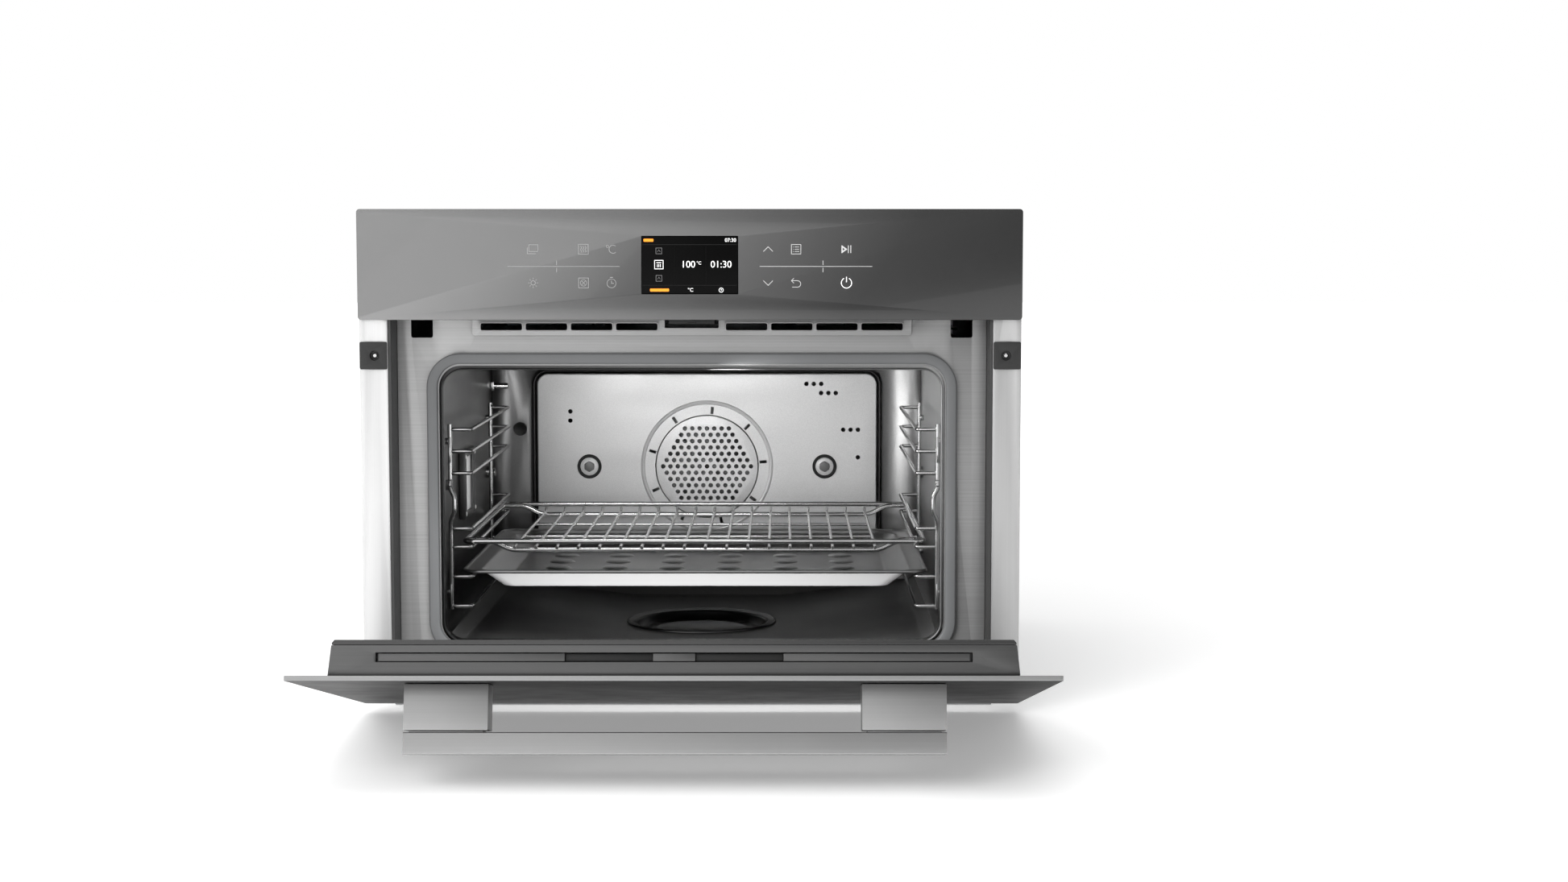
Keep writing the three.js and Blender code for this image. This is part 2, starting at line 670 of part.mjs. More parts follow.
const SHELF = { half: 215.8, front: 84, back: 400, rail: 2.5, grid: 1.5, drop: 9.6 };
const GRID = { count: 18, pitch: 20 };

function wireShelf() {
  const { half, front: y0, back: y1, rail, grid, drop } = SHELF;
  const z = SHELF_LEVEL + RACK.wire + 0.3 + rail;
  const low = z - drop;
  const middle = (y0 + y1) / 2;
  const pieces = [];
  // The outer frame is two U-shaped halves that meet in the middle of the side rails.
  for (const y of [y0, y1]) {
    pieces.push(wire([[-half, middle, z], [-half, y, z], [half, y, z], [half, middle, z]], rail, 10));
  }
  for (const y of [y0 + 12, y1 - 14]) {
    const side = [[half, y, z], [192, y, z], [173, y, low]];
    const route = [...side.map(([a, b, c]) => [-a, b, c]), ...side.reverse()];
    pieces.push(wire(route, rail - 0.1, 4));
  }
  for (const y of [190, 290]) {
    pieces.push(wire([[-171, y, low + 1], [171, y, low + 1]], grid));
  }
  for (let i = 0; i < GRID.count; i += 1) {
    const x = (i - (GRID.count - 1) / 2) * GRID.pitch;
    const top = low + rail + grid - 0.8;
    pieces.push(wire([[x, y0 + 8, top], [x, y1 - 11, top]], grid, 0, 5));
  }
  return joined(pieces);
}

const TRAY = { half: 217.5, front: 83, back: 402, bodyHalf: 184, low: 99.5, flange: 1.2, lean: 19 };

function bakingTray() {
  const { half, front: y0, back: y1, bodyHalf, low, flange, lean } = TRAY;
  const z = TRAY_LEVEL + RACK.wire + 0.3;
  const middle = (y0 + y1) / 2;
  const bodyFront = y0 + 34;
  const bodyBack = y1 - 34;
  const top = z + flange;
  const centre = [0, middle];
  const outer = extruded(roundedRect(-bodyHalf, bodyHalf, bodyFront, bodyBack, 14), top - low, 4);
  const inner = extruded(roundedRect(-bodyHalf, bodyHalf, bodyFront, bodyBack, 14), top - low, 4);
  const bowl = solid(flared(outer.translate(0, 0, low), low, top, lean, centre));
  const space = solid(flared(inner.translate(0, 0, low + 1.4), low + 1.4, top + 1.4, lean, centre));
  const sheet = plateXY(roundedRect(-half, half, y0, y1, 16), z, top, 4);
  const rimOuter = plateXY(roundedRect(-half - 2, half + 2, y0 - 2, y1 + 2, 18), z, z + 3.6, 4);
  const rim = rimOuter.subtract(plateXY(roundedRect(-half + 1, half - 1, y0 + 1, y1 - 1, 15), 0, 300, 4));
  return joined([sheet, bowl]).subtract(space).add(rim);
}

add(front, 'wire_shelf', wireShelf(), FINISH.chrome);
add(front, 'baking_tray', bakingTray(), FINISH.tray);

// ---------------------------------------------------------------------------------------------
// Heaters, fan and insulation
// ---------------------------------------------------------------------------------------------

function torus([x, y, z], radius, tube, axis) {
  const geometry = new THREE.TorusGeometry(radius, tube, 6, 24);
  return solid((axis === 'y' ? geometry.rotateX(Math.PI / 2) : geometry).translate(x, y, z));
}

function ringHeater() {
  const y = 466;
  const legs = [-8, 8].map((x) => {
    const z = FAN.z - Math.sqrt(FAN.heater ** 2 - x ** 2);
    return bar('y', [x, 0, z], 3, y, 490, 8);
  });
  return joined([torus([0, y, FAN.z], FAN.heater, 3.4, 'y'), ...legs]);
}

function bottomHeater() {
  return torus([0, DISH.y, 27], 48, 3.4, 'z');
}

// One rod that runs to and fro under the ceiling.
function grillHeater() {
  const z = 311.4;
  const corners = [];
  [-150, -90, -30, 30, 90, 150].forEach((x, i) => {
    const ends = i % 2 === 0 ? [400, 110] : [110, 400];
    corners.push([x, ends[0], z], [x, ends[1], z]);
  });
  return wire(corners, 3.1, 12);
}

function fanWheel() {
  const hub = bar('y', [0, 0, FAN.z], 12, 456, 480, 16);
  const disc = bar('y', [0, 0, FAN.z], FAN.wheel, 478.5, 480, 32);
  const blades = [];
  for (let i = 0; i < 8; i += 1) {
    const blade = new THREE.BoxGeometry(1.5, 19.5, 46).translate(0, 469.5, 43);
    blades.push(solid(blade.rotateY((i * Math.PI) / 4).translate(0, 0, FAN.z)));
  }
  return joined([hub, disc, ...blades]).subtract(bar('y', [0, 0, FAN.z], 4.5, 400, 500, 12));
}

function convectionMotor() {
  const body = bar('y', [0, 0, FAN.z], 40, 497, 534, 24);
  const flange = block(-52, 52, 493, 497.5, FAN.z - 25, FAN.z + 25);
  const shaft = bar('y', [0, 0, FAN.z], 4, 458, 500, 12);
  return joined([body, flange, shaft]);
}

function insulation() {
  const outer = block(-262, 262, 52, 440, 8, 331);
  const inner = block(-235.2, 235.2, 40, 460, 22.5, 318.5);
  const lamp = block(-265, -230, 180, 226, LAMP.low - 4, LAMP.high + 4);
  const hinges = SIDES.map(([, side]) => sideBlock(side, 245, 265, 40, 116, 5, 60));
  return cut(outer, [inner, lamp, ...hinges]);
}

add(front, 'ring_heater', ringHeater(), FINISH.heater);
add(front, 'bottom_heater', bottomHeater(), FINISH.heater);
add(front, 'grill_heater', grillHeater(), FINISH.heater);
add(front, 'fan_wheel', fanWheel(), FINISH.galvanised);
add(front, 'convection_motor', convectionMotor(), FINISH.heater);
add(front, 'insulation', insulation(), FINISH.wool);

// ---------------------------------------------------------------------------------------------
// Cooling blower, water tank and power board, above the cavity
// ---------------------------------------------------------------------------------------------

const BLOWER = { y: 330, z: 385, radius: 32, half: 86 };

function blowerHousing() {
  const duct = block(-197, 197, BODY_FRONT + 0.5, 262, 342.5, 373);
  const chest = block(-98, 98, 260, 392, 340, 430);
  const ductSpace = block(-195.5, 195.5, 30, 262, 344, 371.5);
  const chestSpace = block(-96.5, 96.5, 255, 390.5, 341.5, 428.5);
  const neck = block(-96.5, 96.5, 250, 270, 344, 371.5);
  const inlet = block(-60, 60, 380, 400, 360, 420);
  const shaft = bar('x', [0, BLOWER.y, BLOWER.z], 6, 90, 105, 12);
  return cut(duct.add(chest), [ductSpace, chestSpace, neck, inlet, shaft]);
}

function blowerImpeller() {
  const { y, z, radius, half } = BLOWER;
  const discs = [-half, 0, half - 2].map((x) => bar('x', [0, y, z], radius, x, x + 2, 20));
  const blades = [];
  for (let i = 0; i < 10; i += 1) {
    const blade = new THREE.BoxGeometry(half * 2, 1.4, 8).translate(0, 0, radius - 4.2);
    blades.push(solid(blade.rotateX((i / 10) * 2 * Math.PI).translate(0, y, z)));
  }
  return joined([...discs, ...blades]).subtract(bar('x', [0, y, z], 4, -100, 100, 12));
}

function blowerMotor() {
  const { y, z } = BLOWER;
  const body = bar('x', [0, y, z], 28, 101, 138, 20);
  return body.add(bar('x', [0, y, z], 3.5, 60, 102, 12));
}

function waterTank() {
  const outer = block(-262, -108, 275, 470, 336, 428);
  const inner = block(-259.5, -110.5, 277.5, 467.5, 338.5, 440);
  const lid = block(-262, -108, 275, 470, 426, 428).subtract(bar('z', [-185, 300, 0], 16, 400, 450));
  return outer.subtract(inner).add(lid);
}

function powerBoard() {
  const board = block(150, 262, 300, 470, 338, 340);
  const transformer = block(165, 205, 320, 360, 339.5, 372);
  const relays = [0, 1, 2].map((i) => block(222, 246, 315 + i * 40, 341 + i * 40, 339.5, 357));
  const capacitors = [0, 1].map((i) => bar('z', [180 + i * 22, 420, 0], 8, 339.5, 366, 12));
  return joined([board, transformer, ...relays, ...capacitors]);
}

add(front, 'blower_housing', blowerHousing(), FINISH.galvanised);
add(front, 'blower_impeller', blowerImpeller(), FINISH.galvanised);
add(front, 'blower_motor', blowerMotor(), FINISH.heater);
add(front, 'water_tank', waterTank(), FINISH.clear);
add(front, 'power_board', powerBoard(), FINISH.board);

// ---------------------------------------------------------------------------------------------
// Control panel
// ---------------------------------------------------------------------------------------------

const SCREEN = { half: 43.2, low: 380.6, high: 432.4 };

function controlGlass() {
  const glass = panel(FRONT_WIDTH / 2, PANEL_BOTTOM, FRONT_TOP, 3, 0, GLASS, 3);
  return glass.subtract(block(-SCREEN.half, SCREEN.half, -5, 10, SCREEN.low, SCREEN.high));
}

// A plastic tray behind the glass, open at the back.
function panelHousing() {
  const shell = block(-288, 288, GLASS + GAP, 34, PANEL_BOTTOM + 3, FRONT_TOP - 4);
  const space = block(-285.5, 285.5, GLASS + 2.9, 50, PANEL_BOTTOM + 5.5, FRONT_TOP - 6.5);
  const window = block(-45, 45, 0, 20, SCREEN.low - 1.8, SCREEN.high + 1.8);
  // Clearance for the trims' upper ends
  const notches = SIDES.map(([, side]) => sideBlock(side, 268, 300, 5, 50, 340, 470));
  const ends = SIDES.map(([, side]) => {
    return sideBlock(side, 265.5, 268, GLASS + GAP, 34, PANEL_BOTTOM + 3, FRONT_TOP - 4);
  });
  return cut(shell, [space, window, ...notches]).add(joined(ends));
}

function displayModule() {
  const inset = GAP;
  const face = block(
    -SCREEN.half + inset, SCREEN.half - inset, 0.3, 14, SCREEN.low + inset, SCREEN.high - inset);
  return face.add(block(-55, 55, 9, 14, SCREEN.low - 6, SCREEN.high + 6));
}

add(front, 'control_glass', controlGlass(), FINISH.glassGrey);
add(front, 'panel_housing', panelHousing(), FINISH.black);
add(front, 'display_module', displayModule(), FINISH.black);

// ---------------------------------------------------------------------------------------------
// Door, drawn closed
// ---------------------------------------------------------------------------------------------

const END_SLOT = { half: 228.6, near: 14.8, far: 22, depth: 7 };

function doorOuterGlass() {
  return panel(FRONT_WIDTH / 2, FRONT_BOTTOM, DOOR_TOP, 3, 0, GLASS, 3);
}

// The door's body behind the outer glass: a frame whose sides lean in towards the oven.
function doorFrame() {
  const { half, taper, low, high, back } = DOOR;
  const y0 = GLASS + GAP;
  const outline = new THREE.Shape();
  outline.moveTo(-half, y0);
  outline.lineTo(half, y0);
  outline.lineTo(half - taper, back);
  outline.lineTo(-half + taper, back);
  const frame = plateXY(outline, low, high);
  const window = block(-222, 222, -5, 50, 58, 308);
  const slot = block(
    -END_SLOT.half, END_SLOT.half, END_SLOT.near, END_SLOT.far, high - END_SLOT.depth, high + 5);
  // The groove that holds the middle pane
  const groove = block(-230, 230, 14, 19, 50, 316);
  const arms = SIDES.map(([, side]) => sideBlock(side, HINGE.near - 1, HINGE.far + 1, 8, 50, 10, 62));
  return cut(frame, [window, slot, groove, ...arms]);
}

function doorVentStrip() {
  const { half, near, far, depth } = END_SLOT;
  const top = DOOR.high - 1.6;
  const strip = block(-half + 2, half - 2, near + 0.6, far - 0.6, DOOR.high - depth + GAP, top);
  const openings = SIDES.map(([, side]) => sideBlock(side, 16.2, 83.8, 0, 40, top - 3, top + 5));
  return cut(strip, openings);
}

function doorInnerGlass() {
  const { half, taper, low, high, inner, innerBack } = DOOR;
  const width = half - taper - 0.4;
  const outline = new THREE.Shape();
  outline.moveTo(-width, inner);
  outline.lineTo(width, inner);
  outline.lineTo(width, inner + 1.4);
  outline.lineTo(width - 2, innerBack);
  outline.lineTo(-width + 2, innerBack);
  outline.lineTo(-width, inner + 1.4);
  const arms = SIDES.map(([, side]) => sideBlock(side, HINGE.near - 1, HINGE.far + 1, 8, 50, 10, 62));
  return cut(plateXY(outline, low + 0.5, high), arms);
}

function doorMiddleGlass() {
  return block(-229.5, 229.5, 14.5, 18.5, 50.5, 315.5);
}

// A flat hook that curls round the door's turning axis into its bracket when the door is shut.
function hingeArm(side) {
  const outline = new THREE.Shape();
  const from = THREE.MathUtils.degToRad(12);
  const to = THREE.MathUtils.degToRad(62);
  outline.absarc(PIVOT.y, PIVOT.z, HINGE.arcOut, from, to, false);
  outline.absarc(PIVOT.y, PIVOT.z, HINGE.arcIn, to, from, true);
  const depth = HINGE.far - HINGE.near;
  const turn = new THREE.Matrix4().makeBasis(
    new THREE.Vector3(0, 1, 0), new THREE.Vector3(0, 0, 1), new THREE.Vector3(1, 0, 0));
  const hook = extruded(outline, depth, 6).applyMatrix4(turn);
  hook.translate(side < 0 ? -HINGE.far : HINGE.near, 0, 0);
  const plate = sideBlock(side, HINGE.near, HINGE.far, 10, 26, 36, 60);
  return solid(hook).add(plate);
}

function hingeBracket(side) {
  const outer = sideBlock(side, HINGE.near - 4, HINGE.far + 4, BODY_FRONT + 2, 108, 9, 54);
  const inner = sideBlock(side, HINGE.near - 2, HINGE.far + 2, 30, 104, 13, 50);
  return outer.subtract(inner);
}

function handlePost(side) {
  const { half, post, high, low, reach } = HANDLE;
  const [x0, x1] = side < 0 ? [-half, -half + post] : [half - post, half];
  return block(x0, x1, -reach, -GAP, low, high);
}

function handleBar() {
  const { half, post, high, low, reach, bar: thick } = HANDLE;
  const far = -reach - 1.5;
  const shape = roundedRect(far - thick, far, low, high, 1);
  const turn = new THREE.Matrix4().makeBasis(
    new THREE.Vector3(0, 1, 0), new THREE.Vector3(0, 0, 1), new THREE.Vector3(1, 0, 0));
  const grip = solid(extruded(shape, 2 * half, 2).applyMatrix4(turn).translate(-half, 0, 0));
  const feet = SIDES.map(([, side]) => {
    return sideBlock(side, half - post + 4, half - 4, far - 2, -reach - GAP, low + 3, high - 3);
  });
  return joined([grip, ...feet]);
}

add(door, 'door_outer_glass', doorOuterGlass(), FINISH.glassDark);
add(door, 'door_frame', doorFrame(), FINISH.doorGrey);
add(door, 'door_vent_strip', doorVentStrip(), FINISH.doorGrey);
add(door, 'door_middle_glass', doorMiddleGlass(), FINISH.clear);
add(door, 'door_inner_glass', doorInnerGlass(), FINISH.glassDark);
for (const [name, side] of SIDES) {
  add(door, `hinge_arm_${name}`, hingeArm(side), FINISH.galvanised);
  add(front, `hinge_bracket_${name}`, hingeBracket(side), FINISH.galvanised);
  add(door, `handle_post_${name}`, handlePost(side), FINISH.handle);
}
add(door, 'handle_bar', handleBar(), FINISH.handle);

export default oven;
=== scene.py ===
"""Looks for a compact built-in steam oven that stands with its drop-down door open.

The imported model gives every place. Lengths in the classes below are millimetres: x to the right
of the middle, d behind the outer face of the control glass, z above the base. Door pieces are
drawn as they stand when the door is shut, and then turned open.
"""

import logging
import math
from collections.abc import Callable, Sequence
from dataclasses import dataclass, field
from enum import Enum

import bpy
from mathutils import Matrix, Vector


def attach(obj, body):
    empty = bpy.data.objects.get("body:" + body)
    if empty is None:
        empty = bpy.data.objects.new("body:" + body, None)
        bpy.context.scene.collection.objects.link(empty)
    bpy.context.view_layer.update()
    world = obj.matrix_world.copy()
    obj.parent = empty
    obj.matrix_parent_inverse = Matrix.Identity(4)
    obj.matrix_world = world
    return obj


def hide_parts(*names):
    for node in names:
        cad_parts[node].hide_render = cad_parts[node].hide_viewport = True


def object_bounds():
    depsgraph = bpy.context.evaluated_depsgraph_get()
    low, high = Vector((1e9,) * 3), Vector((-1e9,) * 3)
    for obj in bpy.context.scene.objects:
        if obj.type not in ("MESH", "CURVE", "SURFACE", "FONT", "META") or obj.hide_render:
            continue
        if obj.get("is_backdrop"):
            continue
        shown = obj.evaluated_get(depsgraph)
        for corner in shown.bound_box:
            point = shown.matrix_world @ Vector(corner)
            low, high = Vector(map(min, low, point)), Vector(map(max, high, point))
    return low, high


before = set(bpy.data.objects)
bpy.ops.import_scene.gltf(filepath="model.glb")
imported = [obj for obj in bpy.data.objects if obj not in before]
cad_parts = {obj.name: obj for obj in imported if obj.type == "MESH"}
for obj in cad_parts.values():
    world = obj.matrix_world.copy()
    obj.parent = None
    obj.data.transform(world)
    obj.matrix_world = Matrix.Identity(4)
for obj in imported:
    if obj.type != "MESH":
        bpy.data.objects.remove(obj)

LOG = logging.getLogger("oven")
MM = 0.001
BODY_CENTRE = 294.75
DOOR_PIVOT = (1.0, 11.0)
DOOR_OPEN = math.radians(75.9)

Point = tuple[float, float, float]
Span = tuple[float, float]
Colour = tuple[float, float, float]
Outline = tuple[float, float, float, float]


class Body(Enum):
    """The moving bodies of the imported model."""

    OVEN = "oven_body"
    DOOR = "door"
    SHELF = "shelf"
    TRAY = "tray"
    CONVECTION_FAN = "convection_fan"
    COOLING_FAN = "cooling_fan"


class Slot(Enum):
    """The record's material slots."""

    FRAME = "brushed_frame"
    TRIM = "trim_steel"
    CAVITY = "cavity_steel"
    WIRE = "bright_wire"
    CASING = "galvanised_sheet"
    CONTROL = "control_glass_grey"
    GLASS = "door_glass"
    PROFILE = "door_profile"
    HANDLE = "handle_aluminium"
    BLACK = "black_plastic"
    GREY = "grey_plastic"
    GASKET = "gasket_silicone"
    TRAY = "tray_steel"
    HEATER = "heater_sheath"
    WOOL = "insulation_wool"
    BOARD = "circuit_board"
    CLEAR = "clear_glass"
    TANK = "tank_plastic"
    SCREEN = "screen"


class Axis(Enum):
    """An axis of the row frame, with the turn that lays a cylinder along it."""

    X = (0.0, math.pi / 2, 0.0)
    Y = (math.pi / 2, 0.0, 0.0)
    Z = (0.0, 0.0, 0.0)


class Pick(Enum):
    """What a choice in edit mode is made of."""

    VERTS = "VERT"
    EDGES = "EDGE"
    FACES = "FACE"


class Ink(Enum):
    """What the signs are printed or shown in, with the name of the piece that holds them."""

    FAINT = "panel_print_faint"
    PLAIN = "panel_print"
    BRIGHT = "panel_print_bright"
    WHITE = "display_white"
    DIM = "display_faint"
    ORANGE = "display_orange"
    SHADE = "display_shade"


class Stroke(Enum):
    """The widths that the signs' lines are drawn in."""

    FINEST = 0.4
    FINE = 0.45
    THIN = 0.5
    PLAIN = 0.55
    FIRM = 0.6
    BOLD = 0.7
    HEAVY = 0.75


class Side(Enum):
    """The left or the right of the oven, as the sign of x."""

    LEFT = -1
    RIGHT = 1


def at(x: float, d: float, z: float) -> Vector:
    """The point in the row frame, in metres, of a place in millimetres."""
    return Vector((x, d - BODY_CENTRE, z)) * MM


def grey(level: float, warmth: float = 0.0) -> Colour:
    """A near-neutral colour.

    Args:
        level: Its display value, from 0 to 255.
        warmth: How far red goes up and blue down, in display steps.

    Returns:
        The linear red, green and blue.
    """

    def linear(value: float) -> float:
        """One channel from its display value."""
        share = max(value, 0.0) / 255
        return share / 12.92 if share <= 0.04045 else ((share + 0.055) / 1.055) ** 2.4

    return (linear(level + warmth), linear(level), linear(level - warmth))


# ---------------------------------------------------------------------------------------------
# Tools of the bench
# ---------------------------------------------------------------------------------------------


class Bench:
    """Short calls for the modelling operators that the pieces are made with."""

    @staticmethod
    def clear() -> None:
        """Leaves edit mode and deselects everything."""
        if bpy.context.mode != "OBJECT":
            bpy.ops.object.mode_set(mode="OBJECT")
        bpy.ops.object.select_all(action="DESELECT")

    @staticmethod
    def take(obj: bpy.types.Object) -> None:
        """Makes one object the only one selected, and the active one."""
        Bench.clear()
        obj.select_set(True)
        bpy.context.view_layer.objects.active = obj

    @staticmethod
    def settle(name: str) -> bpy.types.Object:
        """Puts the active object's place into its mesh, and names it."""
        bpy.ops.object.transform_apply(location=True, rotation=True, scale=True)
        obj = bpy.context.object
        obj.name = name
        obj.data.name = name
        return obj

    @staticmethod
    def choose(obj: bpy.types.Object, pick: Pick, test: Callable[[object], bool]) -> None:
        """Opens a mesh in edit mode with only some of it selected.

        Args:
            obj: The mesh object.
            pick: Whether vertices, edges or faces are chosen.
            test: Says of each one whether it is chosen.
        """
        Bench.take(obj)
        bpy.ops.object.mode_set(mode="EDIT")
        bpy.ops.mesh.select_mode(type=pick.value)
        bpy.ops.mesh.select_all(action="DESELECT")
        bpy.ops.object.mode_set(mode="OBJECT")
        mesh = obj.data
        pools = {Pick.VERTS: mesh.vertices, Pick.EDGES: mesh.edges, Pick.FACES: mesh.polygons}
        for item in pools[pick]:
            item.select = bool(test(item))
        bpy.ops.object.mode_set(mode="EDIT")

    @staticmethod
    def tidy(obj: bpy.types.Object) -> None:
        """Merges doubles and turns every face outwards."""
        Bench.take(obj)
        bpy.ops.object.mode_set(mode="EDIT")
        bpy.ops.mesh.select_all(action="SELECT")
        bpy.ops.mesh.remove_doubles(threshold=1e-6)
        bpy.ops.mesh.normals_make_consistent(inside=False)
        bpy.ops.object.mode_set(mode="OBJECT")

    @staticmethod
    def smooth(obj: bpy.types.Object, degrees: float = 32.0) -> bpy.types.Object:
        """Shades a piece smooth but for edges sharper than the angle given."""
        Bench.take(obj)
        bpy.ops.object.shade_smooth_by_angle(angle=math.radians(degrees))
        return obj

    @staticmethod
    def modify(obj: bpy.types.Object, kind: str, **settings: object) -> bpy.types.Object:
        """Adds a modifier with its settings, and applies it."""
        Bench.take(obj)
        modifier = obj.modifiers.new(kind.title(), kind)
        for key, value in settings.items():
            setattr(modifier, key, value)
        bpy.ops.object.modifier_apply(modifier=modifier.name)
        return obj

    @staticmethod
    def soften(obj: bpy.types.Object, width: float, segments: int = 2) -> bpy.types.Object:
        """Rounds a piece's sharp edges and shades it smooth.

        Args:
            obj: The piece.
            width: The width of the rounding, in millimetres.
            segments: How many faces make the rounding.

        Returns:
            The same piece.
        """
        Bench.modify(
            obj, "BEVEL", width=width * MM, segments=segments, limit_method="ANGLE",
            angle_limit=math.radians(38), miter_outer="MITER_ARC",
        )
        return Bench.smooth(obj)

    @staticmethod
    def block(name: str, x: Span, d: Span, z: Span) -> bpy.types.Object:
        """A plain block between two places along each axis, to be shaped further."""
        Bench.clear()
        low, high = at(x[0], d[0], z[0]), at(x[1], d[1], z[1])
        bpy.ops.mesh.primitive_cube_add(size=1, location=(low + high) / 2, scale=high - low)
        return Bench.settle(name)

    @staticmethod
    def rod(
        name: str, axis: Axis, centre: Point, radius: float, length: float, sides: int = 32
    ) -> bpy.types.Object:
        """A round bar.

        Args:
            name: The object's name.
            axis: The axis that it lies along.
            centre: Its middle, as x, d and z.
            radius: Its radius.
            length: Its length.
            sides: How many sides it has.

        Returns:
            The mesh object.
        """
        Bench.clear()
        bpy.ops.mesh.primitive_cylinder_add(
            vertices=sides, radius=radius * MM, depth=length * MM, location=at(*centre), rotation=axis.value)
        return Bench.settle(name)

    @staticmethod
    def joined(name: str, pieces: Sequence[bpy.types.Object]) -> bpy.types.Object:
        """Several meshes as one object."""
        Bench.take(pieces[0])
        for piece in pieces[1:]:
            piece.select_set(True)
        if len(pieces) > 1:
            bpy.ops.object.join()
        return Bench.settle(name)

    @staticmethod
    def combine(
        obj: bpy.types.Object, others: Sequence[bpy.types.Object], operation: str
    ) -> bpy.types.Object:
        """Cuts others out of a piece, or fuses them with it.

        Args:
            obj: The piece that stays.
            others: Closed shapes that don't overlap one another.
            operation: DIFFERENCE or UNION.

        Returns:
            The piece.
        """
        tool = Bench.joined("tool", list(others))
        Bench.modify(obj, "BOOLEAN", operation=operation, object=tool, solver="EXACT")
        bpy.data.objects.remove(tool)
        return obj

    @staticmethod
    def cut(obj: bpy.types.Object, *others: bpy.types.Object) -> bpy.types.Object:
        """A piece with other shapes cut out of it."""
        return Bench.combine(obj, others, "DIFFERENCE")

    @staticmethod
    def fuse(obj: bpy.types.Object, *others: bpy.types.Object) -> bpy.types.Object:
        """A piece fused with other shapes."""
        return Bench.combine(obj, others, "UNION")

    @staticmethod
    def loop(upright: bool, halves: Span, centre: Point, radius: float, steps: int) -> bpy.types.Object:
        """The bare outline of a rounded rectangle.

        Args:
            upright: True for an outline in x and z, False for one in x and d.
            halves: Half its width along x, and half its height or depth.
            centre: Its middle, as x, d and z.
            radius: The radius of its corners.
            steps: How many edges round each corner.

        Returns:
            A mesh object that holds one loop of edges.
        """
        Bench.clear()
        turn = (math.pi / 2 if upright else 0.0, 0.0, 0.0)
        bpy.ops.mesh.primitive_plane_add(size=2, location=(0, 0, 0), rotation=(0, 0, 0))
        obj = bpy.context.object
        obj.scale = (halves[0] * MM, halves[1] * MM, 1)
        obj.rotation_euler = turn
        obj.location = at(*centre)
        Bench.settle("loop")
        bpy.ops.object.mode_set(mode="EDIT")
        bpy.ops.mesh.select_mode(type="VERT")
        bpy.ops.mesh.select_all(action="SELECT")
        bpy.ops.mesh.bevel(offset=max(radius, 0.05) * MM, segments=steps, affect="VERTICES")
        bpy.ops.mesh.select_all(action="SELECT")
        bpy.ops.mesh.delete(type="ONLY_FACE")
        bpy.ops.object.mode_set(mode="OBJECT")
        return obj

    @staticmethod
    def portal(outline: Outline, grow: float, depth: float, steps: int = 8) -> bpy.types.Object:
        """An upright rounded outline, centred on the oven and grown outwards.

        Args:
            outline: Half its width, its lowest and highest height, and its corners' radius.
            grow: How far out it goes, or in if it is below zero.
            depth: Its depth.
            steps: How many edges round each corner.

        Returns:
            A mesh object that holds one loop of edges.
        """
        half, low, high, radius = outline
        return Bench.loop(
            True, (half + grow, (high - low) / 2 + grow), (0, depth, (low + high) / 2), radius + grow,
            steps)

    @staticmethod
    def flip(obj: bpy.types.Object) -> None:
        """Turns every face of an object to point the other way."""
        Bench.choose(obj, Pick.FACES, lambda f: True)
        bpy.ops.mesh.flip_normals()
        bpy.ops.object.mode_set(mode="OBJECT")

    @staticmethod
    def loft(
        name: str, loops: Sequence[bpy.types.Object], closed: bool = False,
        caps: tuple[bool, bool] = (False, False)
    ) -> bpy.types.Object:
        """Faces bridged from each outline to the next.

        Args:
            name: The object's name.
            loops: The outlines in order.
            closed: True to bridge the last outline back to the first, which makes a ring.
            caps: Whether the first and the last outline are filled.

        Returns:
            The mesh object.
        """
        ends = [0]
        for obj in loops:
            ends.append(ends[-1] + len(obj.data.vertices))
        ranges = [range(a, b) for a, b in zip(ends, ends[1:])]
        obj = Bench.joined(name, loops)
        pairs = list(zip(ranges, ranges[1:])) + ([(ranges[-1], ranges[0])] if closed else [])
        outline = {frozenset(edge.vertices) for edge in obj.data.edges}

        def of_outline(edge: bpy.types.MeshEdge, *spans: range) -> bool:
            """True for an edge of one of the outlines whose corners are given."""
            return frozenset(edge.vertices) in outline and any(
                edge.vertices[0] in span and edge.vertices[1] in span for span in spans)

        for first, second in pairs:
            Bench.choose(obj, Pick.EDGES, lambda e, a=first, b=second: of_outline(e, a, b))
            bpy.ops.mesh.bridge_edge_loops()
            bpy.ops.object.mode_set(mode="OBJECT")
        for wanted, span in zip(caps, (ranges[0], ranges[-1])):
            if wanted:
                Bench.choose(obj, Pick.EDGES, lambda e, a=span: of_outline(e, a))
                bpy.ops.mesh.edge_face_add()
                bpy.ops.object.mode_set(mode="OBJECT")
        Bench.tidy(obj)
        return obj

    @staticmethod
    def plate(name: str, x: Span, z: Span, d: Span, radius: float, steps: int = 6) -> bpy.types.Object:
        """An upright plate with rounded corners, from one depth to another."""
        halves = ((x[1] - x[0]) / 2, (z[1] - z[0]) / 2)
        middle = ((x[0] + x[1]) / 2, (z[0] + z[1]) / 2)
        loops = [Bench.loop(True, halves, (middle[0], depth, middle[1]), radius, steps) for depth in d]
        return Bench.loft(name, loops, caps=(True, True))

